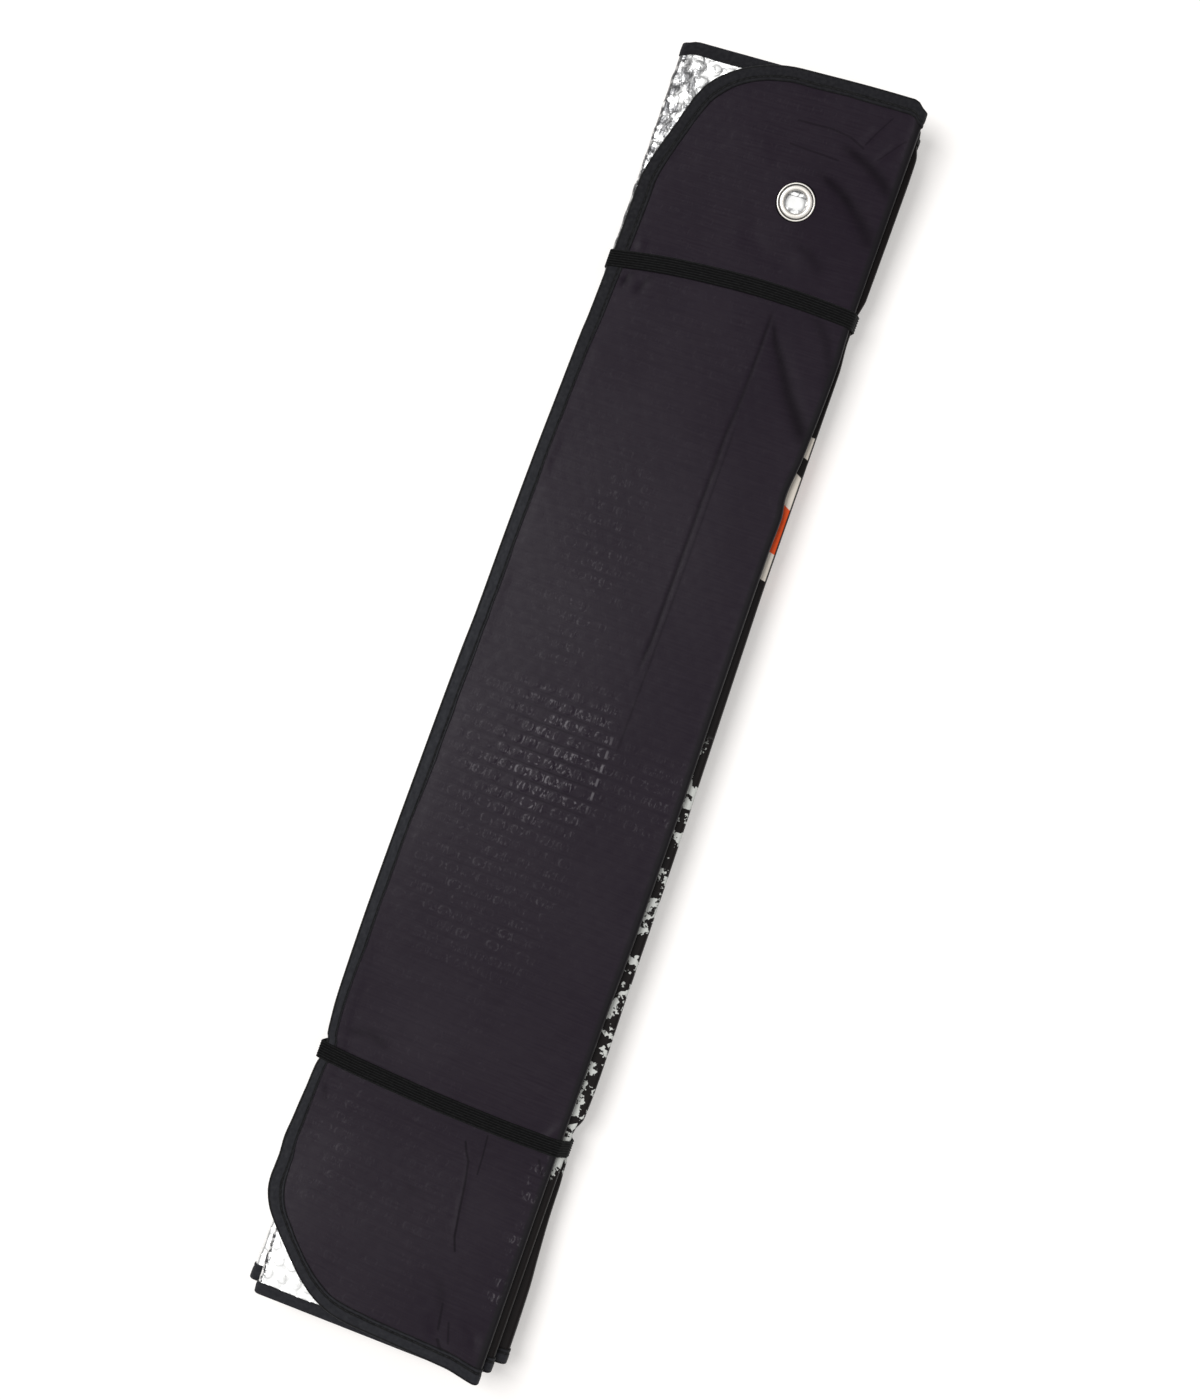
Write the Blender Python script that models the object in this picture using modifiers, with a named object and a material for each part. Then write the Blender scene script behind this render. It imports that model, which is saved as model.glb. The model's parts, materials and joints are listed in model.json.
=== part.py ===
"""Folding windscreen sunshade, lying folded and held by two elastic bands.

A sheet of dark cloth over bubble foil, bound with tape all round, is folded in a zigzag.
The folds run along Y, the panels are stacked in Z, and the first panel, on top, has its
free edge on the left (-X). All sizes are in metres and the origin is under the middle.
"""
import math

import bmesh
import bpy
from mathutils import Matrix, Vector

# The flat sheet
PANELS = 10
PANEL_WIDTH = 0.130
SHEET_LENGTH = 0.700
CORNER_RADIUS = 0.062
CORNER_LEAD = 0.005
FOLD_ALLOWANCE = 0.006

# Layers of the sheet, from the cloth side to the foil side
CLOTH_THICK = 0.0003
FOIL_THICK = 0.0010
LAYER_GAP = 0.0003
TAPE_THICK = 0.00035
TAPE_WIDTH = 0.0082
TAPE_ROUNDING = 0.0005
EDGE_LIFT_RAMP = 0.006

# Room left between one panel and the next, where the stack is loose or held together
LOFT_AT_STRAPS = 0.00055
LOFT_IN_MIDDLE = 0.0004
LOFT_AT_ENDS = 0.0010

# Elastic straps
STRAP_WIDTH = 0.0092
STRAP_THICK = 0.0010
STRAP_FROM_END = 0.126
STRAP_CLEAR_OF_FLOOR = 0.00025
PINCH_MARGIN = 0.0144
UPPER_STRAP_CREST_X = 0.037
UPPER_STRAP_SHIFT = 0.0098
UPPER_STRAP_BOW = -0.0111
LOWER_STRAP_CREST_X = 0.066
LOWER_STRAP_SHIFT = 0.001
LOWER_STRAP_BOW = 0.0101

# Eyelets, one near the same end of the first and of the last panel
EYELET_FROM_FREE_EDGE = 0.0805
EYELET_FROM_END = 0.066
EYELET_OUTER_RADIUS = 0.01025
EYELET_HOLE_RADIUS = 0.00585
EYELET_WALL = 0.0005
EYELET_CROWN = 0.0011
EYELET_RIM = 0.0003
EYELET_LIP_WIDTH = 0.0009
EYELET_LIP_THICK = 0.0003
WASHER_RADIUS = 0.0095
WASHER_THICK = 0.0003

# How the folded panels fan out. Each row is one edge or fold, from the first panel's free
# edge down to the last panel's free edge, in millimetres to the right of a straight stack, at
# the far end, the upper strap, the upper quarter, the middle, the lower quarter, the lower
# strap and the near end.
QUARTER_FROM_MIDDLE = 0.110
SIDE_SHIFTS_MM = (
    (1.0, 0.4, -3.2, -5.3, -6.8, -3.6, -7.6),
    (-0.6, -0.6, -1.5, -1.1, -0.6, -1.3, -1.4),
    (0.0, 0.0, -0.5, -1.0, -1.0, 1.0, 4.5),
    (2.2, 0.8, 1.4, 3.3, 4.8, 3.2, 4.5),
    (2.0, 1.5, 0.0, -1.0, -1.0, 0.5, 0.5),
    (1.5, 0.6, 1.0, 2.6, 4.2, 3.6, 8.3),
    (3.0, 2.0, 0.5, -0.5, 0.0, 1.5, 3.0),
    (0.5, 0.2, 0.8, 2.0, 3.2, 2.6, 6.0),
    (2.5, 2.0, 1.0, -0.5, -1.0, 1.0, 4.0),
    (0.0, -0.2, 0.4, 1.6, 2.6, 2.0, 4.0),
    (2.0, 1.0, -1.0, -2.0, -3.0, -1.0, -1.0),
)
# How far each of those lines stops short of the longest one, at the far and the near end
END_SHORTFALLS_MM = (
    (10, 14), (0, 0), (9, 7), (10, 6), (12, 12), (12, 10),
    (14, 13), (12, 11), (15, 14), (13, 12), (16, 15),
)

# Fineness of the meshes
FOLD_STEPS = 4
PANEL_STEPS = 2
CORNER_STEPS = 7
EYELET_STEPS = 24
EYELET_CROWN_STEPS = 5
STRAP_RUN_STEPS = 8
STRAP_CORNER_STEPS = 3

# Sizes worked out from those above
MM = 0.001
HALF_LENGTH = SHEET_LENGTH / 2
STRAP_FROM_MIDDLE = HALF_LENGTH - STRAP_FROM_END
SHEET_HALF = (CLOTH_THICK + LAYER_GAP + FOIL_THICK) / 2
TAPE_HALF = SHEET_HALF + LAYER_GAP + TAPE_THICK
TAPE_PROUD = TAPE_HALF - SHEET_HALF
CLOTH_MIDDLE = SHEET_HALF - CLOTH_THICK / 2
FOIL_MIDDLE = -SHEET_HALF + FOIL_THICK / 2
PITCH_AT_STRAPS = SHEET_HALF + TAPE_HALF + LOFT_AT_STRAPS
PITCH_IN_MIDDLE = SHEET_HALF + TAPE_HALF + TAPE_PROUD + LOFT_IN_MIDDLE
PITCH_AT_ENDS = 2 * TAPE_HALF + LOFT_AT_ENDS
RISE_AT_STRAPS = TAPE_PROUD + LAYER_GAP + STRAP_THICK + STRAP_CLEAR_OF_FLOOR
PINCH_HALF = STRAP_WIDTH / 2 + PINCH_MARGIN
TAPE_STANDS_OUT = LAYER_GAP + TAPE_THICK + TAPE_ROUNDING / 2
SHEET_WIDTH = PANELS * PANEL_WIDTH
EDGE_LIFT_STARTS = TAPE_WIDTH + EDGE_LIFT_RAMP
EDGE_LIFT_ENDS = TAPE_WIDTH + LAYER_GAP
CLOSEST_COLUMNS = FOLD_ALLOWANCE / FOLD_STEPS / 2
LONG_STRAP_RUN = PANEL_WIDTH / 3


def new_collection(name):
    collection = bpy.data.collections.new(name)
    bpy.context.scene.collection.children.link(collection)
    return collection


def new_material(name, colour, roughness, metallic=0.0):
    material = bpy.data.materials.new(name)
    material.use_nodes = True
    shader = material.node_tree.nodes["Principled BSDF"]
    shader.inputs["Base Color"].default_value = (*colour, 1.0)
    shader.inputs["Roughness"].default_value = roughness
    shader.inputs["Metallic"].default_value = metallic
    return material


def add_object(name, mesh, material, collection, smooth_angle=40):
    part = bpy.data.objects.new(name, mesh)
    mesh.materials.append(material)
    mesh.shade_smooth()
    mesh.set_sharp_from_angle(angle=math.radians(smooth_angle))
    collection.objects.link(part)
    return part


def add_solidify(part, thickness):
    shell = part.modifiers.new("Thickness", "SOLIDIFY")
    shell.thickness = thickness
    shell.offset = 0.0
    shell.use_even_offset = True


def between(a, b, t):
    return a + (b - a) * t


def along_stations(stations, at):
    """The value at a place, read from (place, value) pairs and straight between them."""
    if at <= stations[1][0]:
        low, high = stations[0], stations[1]
    else:
        low, high = stations[-2], stations[-1]
        for first, second in zip(stations, stations[1:]):
            if first[0] <= at <= second[0]:
                low, high = first, second
                break
    return between(low[1], high[1], (at - low[0]) / (high[0] - low[0]))


def lengthwise(far_end, upper_strap, upper_quarter, middle, lower_quarter, lower_strap, near_end):
    """Seven values along the sheet's length as stations from the near end to the far end."""
    outer = STRAP_FROM_MIDDLE + PINCH_HALF
    inner = STRAP_FROM_MIDDLE - PINCH_HALF
    return (
        (-HALF_LENGTH, near_end),
        (-outer, lower_strap),
        (-inner, lower_strap),
        (-QUARTER_FROM_MIDDLE, lower_quarter),
        (0.0, middle),
        (QUARTER_FROM_MIDDLE, upper_quarter),
        (inner, upper_strap),
        (outer, upper_strap),
        (HALF_LENGTH, far_end),
    )


PITCH_STATIONS = lengthwise(
    PITCH_AT_ENDS, PITCH_AT_STRAPS, PITCH_IN_MIDDLE, PITCH_IN_MIDDLE,
    PITCH_IN_MIDDLE, PITCH_AT_STRAPS, PITCH_AT_ENDS,
)
RISE_STATIONS = lengthwise(
    RISE_AT_STRAPS, RISE_AT_STRAPS, 0.0, 0.0, 0.0, RISE_AT_STRAPS, RISE_AT_STRAPS,
)
SHIFT_STATIONS = [lengthwise(*(shift * MM for shift in row)) for row in SIDE_SHIFTS_MM]


def pitch(along):
    """The height from one panel's middle to the next one's."""
    return along_stations(PITCH_STATIONS, along)


def is_left(line):
    """Lines are counted from the first free edge, which lies on the left."""
    return line % 2 == 0


def is_fold(line):
    return 0 < line < PANELS


def line_x(line, along):
    """The outermost place of a fold or of a bound free edge."""
    nominal = -PANEL_WIDTH / 2 if is_left(line) else PANEL_WIDTH / 2
    return nominal + along_stations(SHIFT_STATIONS[line % len(SHIFT_STATIONS)], along)


def line_y(line, along):
    short_far, short_near = END_SHORTFALLS_MM[line % len(END_SHORTFALLS_MM)]
    far_y = HALF_LENGTH - short_far * MM
    near_y = -HALF_LENGTH + short_near * MM
    return between(near_y, far_y, 0.5 + along / SHEET_LENGTH)


def turning_x(line, along):
    """Where a panel stops being flat: the middle of its fold, or its bare free edge."""
    inwards = 1 if is_left(line) else -1
    if is_fold(line):
        return line_x(line, along) + inwards * (pitch(along) / 2 + SHEET_HALF)
    return line_x(line, along) + inwards * TAPE_STANDS_OUT


def panel_height(panel, along):
    rise = along_stations(RISE_STATIONS, along)
    return rise + SHEET_HALF + (PANELS - 1 - panel) * pitch(along)


def edge_lift(across, along):
    """The last panel's bound edge curls up, so that its tape lies level with the cloth."""
    from_edge = SHEET_WIDTH - across
    if from_edge >= EDGE_LIFT_STARTS:
        return 0.0
    lift = max(0.0, TAPE_PROUD - along_stations(RISE_STATIONS, along))
    share = (EDGE_LIFT_STARTS - from_edge) / (EDGE_LIFT_STARTS - EDGE_LIFT_ENDS)
    return lift * min(1.0, share)


def folded(across, along, out):
    """A point of the flat sheet, moved to where folding puts it.

    across is measured over the panels from the first free edge, along is measured from the
    middle of the sheet's length, and out is the height over the sheet on its cloth side.
    """
    half_fold = FOLD_ALLOWANCE / 2
    line = round(across / PANEL_WIDTH)
    in_fold = across - line * PANEL_WIDTH
    if is_fold(line) and abs(in_fold) < half_fold:
        turn = math.pi * (0.5 + in_fold / FOLD_ALLOWANCE)
        outwards = -1 if is_left(line) else 1
        side_out = -out if is_left(line) else out
        radius = pitch(along) / 2 + side_out
        middle_z = (panel_height(line - 1, along) + panel_height(line, along)) / 2
        return Vector((
            turning_x(line, along) + outwards * radius * math.sin(turn),
            line_y(line, along),
            middle_z + radius * math.cos(turn),
        ))
    panel = min(PANELS - 1, max(0, math.floor(across / PANEL_WIDTH)))
    start = panel * PANEL_WIDTH + (half_fold if panel > 0 else 0.0)
    end = (panel + 1) * PANEL_WIDTH - (half_fold if panel < PANELS - 1 else 0.0)
    share = (across - start) / (end - start)
    up = out if panel % 2 == 0 else -out
    return Vector((
        between(turning_x(panel, along), turning_x(panel + 1, along), share),
        between(line_y(panel, along), line_y(panel + 1, along), share),
        panel_height(panel, along) + up + edge_lift(across, along),
    ))


def end_of_sheet(across):
    """Half the sheet's length at a place across it, less where its corners are round."""
    from_side = min(across, SHEET_WIDTH - across)
    if from_side >= CORNER_RADIUS:
        return HALF_LENGTH
    lean = CORNER_RADIUS - max(0.0, from_side)
    return HALF_LENGTH - CORNER_RADIUS + math.sqrt(CORNER_RADIUS**2 - lean**2)


def corner_places():
    """Places across the first panel that follow its round corner evenly."""
    quarter = math.pi / 2
    return [
        CORNER_RADIUS * (1 - math.cos(quarter * step / CORNER_STEPS))
        for step in range(CORNER_STEPS + 1)
    ]


def columns():
    """The places across the sheet where its mesh has a line of points."""
    half_fold = FOLD_ALLOWANCE / 2
    places = corner_places()
    for line in range(1, PANELS):
        for step in range(FOLD_STEPS + 1):
            places.append(line * PANEL_WIDTH - half_fold + FOLD_ALLOWANCE * step / FOLD_STEPS)
        if line < PANELS - 1:
            flat = PANEL_WIDTH - FOLD_ALLOWANCE
            for step in range(1, PANEL_STEPS):
                places.append(line * PANEL_WIDTH + half_fold + flat * step / PANEL_STEPS)
    places += [SHEET_WIDTH - place for place in reversed(corner_places())]
    places += [SHEET_WIDTH - EDGE_LIFT_STARTS, SHEET_WIDTH - EDGE_LIFT_ENDS]
    places += [EDGE_LIFT_STARTS, EDGE_LIFT_ENDS]
    places.sort()
    kept = [places[0]]
    for place in places[1:]:
        if place - kept[-1] > CLOSEST_COLUMNS:
            kept.append(place)
    return kept


def inner_rows():
    """The places along the sheet, short of its round corners, where its shape may bend."""
    places = [place for place, _ in PITCH_STATIONS[1:-1]]
    straight = HALF_LENGTH - CORNER_RADIUS - CORNER_LEAD
    return [-straight] + [place for place in places if abs(place) < straight] + [straight]


def rows_at(across):
    end = end_of_sheet(across)
    return [-end] + inner_rows() + [end]


def folded_layer(name, out, thickness, material, collection):
    """One layer of the sheet: a grid bent along the folds and then given its thickness."""
    places = columns()
    row_count = len(rows_at(0.0))
    mesh = bpy.data.meshes.new(name)
    grid = bmesh.new()
    bmesh.ops.create_grid(
        grid, x_segments=len(places) - 1, y_segments=row_count - 1, size=0.5
    )
    for point in grid.verts:
        column = round((point.co.x + 0.5) * (len(places) - 1))
        row = round((point.co.y + 0.5) * (row_count - 1))
        across = places[column]
        point.co = folded(across, rows_at(across)[row], out)
    grid.to_mesh(mesh)
    grid.free()
    layer = add_object(name, mesh, material, collection)
    add_solidify(layer, thickness)
    return layer


def sheet_outline():
    """The flat sheet's edge, anticlockwise, as (across, along, inward across, inward along)."""
    places = columns()
    outline = []
    for across in places:
        outline.append((across, -end_of_sheet(across)))
    outline += [(SHEET_WIDTH, along) for along in inner_rows()]
    for across in reversed(places):
        outline.append((across, end_of_sheet(across)))
    outline += [(0.0, along) for along in reversed(inner_rows())]
    framed = []
    for across, along in outline:
        from_side = min(across, SHEET_WIDTH - across)
        straight = HALF_LENGTH - CORNER_RADIUS
        if from_side < CORNER_RADIUS and abs(along) > straight:
            on_first = across < SHEET_WIDTH / 2
            centre_across = CORNER_RADIUS if on_first else SHEET_WIDTH - CORNER_RADIUS
            centre_along = math.copysign(straight, along)
            inward = Vector((centre_across - across, centre_along - along)).normalized()
        elif from_side < CORNER_RADIUS:
            inward = Vector((1.0 if across < SHEET_WIDTH / 2 else -1.0, 0.0))
        else:
            inward = Vector((0.0, -math.copysign(1.0, along)))
        framed.append((across, along, inward.x, inward.y))
    return framed


def tape_profile():
    """The tape's section as (inward, out), from the foil side round the edge to the cloth side."""
    face = TAPE_HALF - TAPE_THICK / 2
    edge = -(TAPE_STANDS_OUT - TAPE_THICK / 2)
    half = [
        (TAPE_WIDTH, face),
        (edge + TAPE_ROUNDING, face),
        (edge, face - TAPE_ROUNDING),
    ]
    return [(inward, -out) for inward, out in half] + list(reversed(half))


def strip_mesh(name, rings, closed):
    """A skin over rings of points; a closed one joins its last ring to its first."""
    skin = bmesh.new()
    made = [[skin.verts.new(point) for point in ring] for ring in rings]
    followed = made[1:] + made[:1] if closed else made[1:]
    for ring, next_ring in zip(made, followed):
        for index in range(len(ring) - 1):
            skin.faces.new((ring[index], ring[index + 1], next_ring[index + 1], next_ring[index]))
    bmesh.ops.recalc_face_normals(skin, faces=skin.faces)
    mesh = bpy.data.meshes.new(name)
    skin.to_mesh(mesh)
    skin.free()
    return mesh


def add_binding(material, collection):
    """The tape that wraps the sheet's edge all the way round."""
    rings = [
        [
            folded(across + inward_across * inward, along + inward_along * inward, out)
            for inward, out in tape_profile()
        ]
        for across, along, inward_across, inward_along in sheet_outline()
    ]
    binding = add_object("edge_binding", strip_mesh("edge_binding", rings, True), material, collection)
    add_solidify(binding, TAPE_THICK)
    return binding


def stack_corners(along):
    """The outermost points of the stack's section under a strap, in X and Z."""
    points = []
    for line in range(PANELS + 1):
        x = line_x(line, along)
        inwards = 1 if is_left(line) else -1
        if is_fold(line):
            radius = pitch(along) / 2 + SHEET_HALF
            centre_z = (panel_height(line - 1, along) + panel_height(line, along)) / 2
            for step in range(FOLD_STEPS + 1):
                turn = math.pi * step / FOLD_STEPS
                points.append((
                    x + inwards * radius * (1 - math.sin(turn)),
                    centre_z + radius * math.cos(turn),
                ))
        else:
            z = panel_height(min(line, PANELS - 1), along)
            for side in (-1, 1):
                points.append((x, z + side * (TAPE_HALF - TAPE_ROUNDING)))
                points.append((x + inwards * TAPE_ROUNDING, z + side * TAPE_HALF))
                points.append((x + inwards * TAPE_WIDTH, z + side * TAPE_HALF))
    return points


def wrapped(points):
    """The convex outline round some points in a plane, anticlockwise."""
    def half(ordered):
        chain = []
        for p in ordered:
            while len(chain) > 1 and (
                (chain[-1][0] - chain[-2][0]) * (p[1] - chain[-2][1])
                - (chain[-1][1] - chain[-2][1]) * (p[0] - chain[-2][0])
            ) <= 0:
                chain.pop()
            chain.append(p)
        return chain[:-1]
    ordered = sorted(set(points))
    return half(ordered) + half(list(reversed(ordered)))


def strap_path(middle):
    """Points round the stack, each with the direction in which the strap stands off it."""
    corners = wrapped([
        (round(x, 5), round(z, 5))
        for along in (middle - PINCH_HALF, middle, middle + PINCH_HALF)
        for x, z in stack_corners(along)
    ])
    path = []
    for index, corner in enumerate(corners):
        after = corners[(index + 1) % len(corners)]
        before = corners[index - 1]
        turn_in = math.atan2(before[0] - corner[0], corner[1] - before[1])
        turn_out = math.atan2(corner[0] - after[0], after[1] - corner[1])
        while turn_out < turn_in:
            turn_out += 2 * math.pi
        steps = max(1, math.ceil((turn_out - turn_in) / (math.pi / 2) * STRAP_CORNER_STEPS))
        for step in range(steps + 1):
            path.append((corner, between(turn_in, turn_out, step / steps)))
        length = math.dist(corner, after)
        if length > LONG_STRAP_RUN:
            for step in range(1, STRAP_RUN_STEPS):
                share = step / STRAP_RUN_STEPS
                place = (between(corner[0], after[0], share), between(corner[1], after[1], share))
                path.append((place, turn_out))
    return path


def add_strap(name, middle, crest_x, shift, bow, material, collection):
    """A flat elastic band round the stack, bowed towards one end as it lies."""
    left_x = -PANEL_WIDTH / 2
    stand_off = LAYER_GAP + STRAP_THICK / 2
    rings = []
    for (x, z), facing in strap_path(middle):
        band_x = x + stand_off * math.cos(facing)
        band_z = z + stand_off * math.sin(facing)
        middle_y = middle + shift + bow * ((band_x - crest_x) / (left_x - crest_x)) ** 2
        rings.append([
            Vector((band_x, middle_y + side * STRAP_WIDTH / 2, band_z)) for side in (-1, 1)
        ])
    strap = add_object(name, strip_mesh(name, rings, True), material, collection)
    add_solidify(strap, STRAP_THICK)
    return strap


def eyelet_place(across):
    """The frame of an eyelet: its origin in the middle of the sheet, Z out of the cloth."""
    along = HALF_LENGTH - EYELET_FROM_END
    reach = EYELET_OUTER_RADIUS
    origin = folded(across, along, 0.0)
    forward = (folded(across, along + reach, 0.0) - folded(across, along - reach, 0.0)).normalized()
    out = (folded(across, along, reach) - origin).normalized()
    side = forward.cross(out).normalized()
    out = side.cross(forward).normalized()
    turned = Matrix((side, forward, out)).transposed().to_4x4()
    return Matrix.Translation(origin) @ turned


def turned_mesh(name, profile):
    """A closed profile of (radius, height), listed down its outer side, for a Screw modifier."""
    mesh = bpy.data.meshes.new(name)
    points = [(radius, 0.0, height) for radius, height in profile]
    edges = [(index, (index + 1) % len(points)) for index in range(len(points))]
    mesh.from_pydata(points, edges, [])
    return mesh


def add_turned(name, profile, place, material, collection):
    part = bpy.data.objects.new(name, turned_mesh(name, profile))
    part.data.materials.append(material)
    part.matrix_world = place
    collection.objects.link(part)
    screw = part.modifiers.new("Turn", "SCREW")
    screw.steps = EYELET_STEPS
    screw.render_steps = EYELET_STEPS
    screw.use_merge_vertices = True
    screw.merge_threshold = 0.00001
    screw.use_smooth_shade = True
    return part


def eyelet_profile():
    """Crowned flange on the cloth, barrel through the sheet, and the lip that holds the washer."""
    under = SHEET_HALF + LAYER_GAP
    washer_foot = -(SHEET_HALF + LAYER_GAP + WASHER_THICK)
    lip_top = washer_foot - LAYER_GAP
    lip_foot = lip_top - EYELET_LIP_THICK
    hole = EYELET_HOLE_RADIUS
    barrel = hole + EYELET_WALL
    lip = barrel + EYELET_LIP_WIDTH
    middle = (EYELET_OUTER_RADIUS + hole) / 2
    half_width = (EYELET_OUTER_RADIUS - hole) / 2
    crown = []
    for step in range(EYELET_CROWN_STEPS + 1):
        turn = math.pi * step / EYELET_CROWN_STEPS
        crown.append((
            middle - half_width * math.cos(turn),
            under + EYELET_RIM + (EYELET_CROWN - EYELET_RIM) * math.sin(turn),
        ))
    return crown + [
        (EYELET_OUTER_RADIUS, under),
        (barrel, under),
        (barrel, lip_top),
        (lip, lip_top),
        (lip, lip_foot),
        (hole, lip_foot),
    ]


def washer_profile():
    top = -(SHEET_HALF + LAYER_GAP)
    bore = EYELET_HOLE_RADIUS + EYELET_WALL + LAYER_GAP
    return [
        (WASHER_RADIUS, top),
        (WASHER_RADIUS, top - WASHER_THICK),
        (bore, top - WASHER_THICK),
        (bore, top),
    ]


def cut_hole(layers, place, collection):
    """The hole for an eyelet's barrel, through the cloth and the foil of one panel."""
    bpy.ops.mesh.primitive_cylinder_add(
        vertices=EYELET_STEPS,
        radius=EYELET_HOLE_RADIUS + EYELET_WALL + LAYER_GAP,
        depth=2 * TAPE_HALF,
    )
    cutter = bpy.context.active_object
    for owner in list(cutter.users_collection):
        owner.objects.unlink(cutter)
    collection.objects.link(cutter)
    cutter.name = "eyelet_hole_cutter"
    cutter.matrix_world = place
    cutter.hide_render = True
    cutter.display_type = "WIRE"
    for layer in layers:
        cut = layer.modifiers.new("Eyelet hole", "BOOLEAN")
        cut.operation = "DIFFERENCE"
        cut.object = cutter


def shift_to_origin(collection):
    """The move that puts the origin under the middle of the whole object."""
    bpy.context.view_layer.update()
    graph = bpy.context.evaluated_depsgraph_get()
    corners = []
    for part in collection.objects:
        shown = part.evaluated_get(graph)
        mesh = shown.to_mesh()
        corners += [shown.matrix_world @ point.co for point in mesh.vertices]
        shown.to_mesh_clear()
    low = [min(corner[axis] for corner in corners) for axis in range(3)]
    high = [max(corner[axis] for corner in corners) for axis in range(3)]
    return Vector((-(low[0] + high[0]) / 2, -(low[1] + high[1]) / 2, -low[2]))


def main():
    for old in list(bpy.data.objects):
        bpy.data.objects.remove(old, do_unlink=True)
    parts = new_collection("folding_sunshade")
    cutters = new_collection("cutters")

    cloth_black = new_material("cloth_black", (0.031, 0.026, 0.033), 0.62)
    foil_silver = new_material("foil_silver", (0.80, 0.80, 0.79), 0.28, 0.9)
    tape_black = new_material("tape_black", (0.018, 0.019, 0.023), 0.75)
    elastic_black = new_material("elastic_black", (0.008, 0.008, 0.008), 0.85)
    nickel = new_material("nickel", (0.78, 0.77, 0.74), 0.2, 1.0)

    cloth = folded_layer("face_cloth", CLOTH_MIDDLE, CLOTH_THICK, cloth_black, parts)
    foil = folded_layer("bubble_foil", FOIL_MIDDLE, FOIL_THICK, foil_silver, parts)
    add_binding(tape_black, parts)
    add_strap(
        "elastic_strap_upper", STRAP_FROM_MIDDLE, UPPER_STRAP_CREST_X,
        UPPER_STRAP_SHIFT, UPPER_STRAP_BOW, elastic_black, parts,
    )
    add_strap(
        "elastic_strap_lower", -STRAP_FROM_MIDDLE, LOWER_STRAP_CREST_X,
        LOWER_STRAP_SHIFT, LOWER_STRAP_BOW, elastic_black, parts,
    )
    for side, across in (
        ("upper", EYELET_FROM_FREE_EDGE),
        ("lower", SHEET_WIDTH - EYELET_FROM_FREE_EDGE),
    ):
        place = eyelet_place(across)
        add_turned(f"eyelet_{side}", eyelet_profile(), place, nickel, parts)
        add_turned(f"eyelet_washer_{side}", washer_profile(), place, nickel, parts)
        cut_hole((cloth, foil), place, cutters)

    shift = Matrix.Translation(shift_to_origin(parts))
    for part in list(parts.objects) + list(cutters.objects):
        part.matrix_world = shift @ part.matrix_world


main()
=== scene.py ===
"""The look of a folded windscreen sunshade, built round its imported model.

The sheet is described flat, by how far a place is across the panels, along the folds and out
of the cloth side, and folded() bends those places into the bundle as the CAD solids are bent.
All sizes are in metres, in the CAD's frame.
"""

import json
import math

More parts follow.
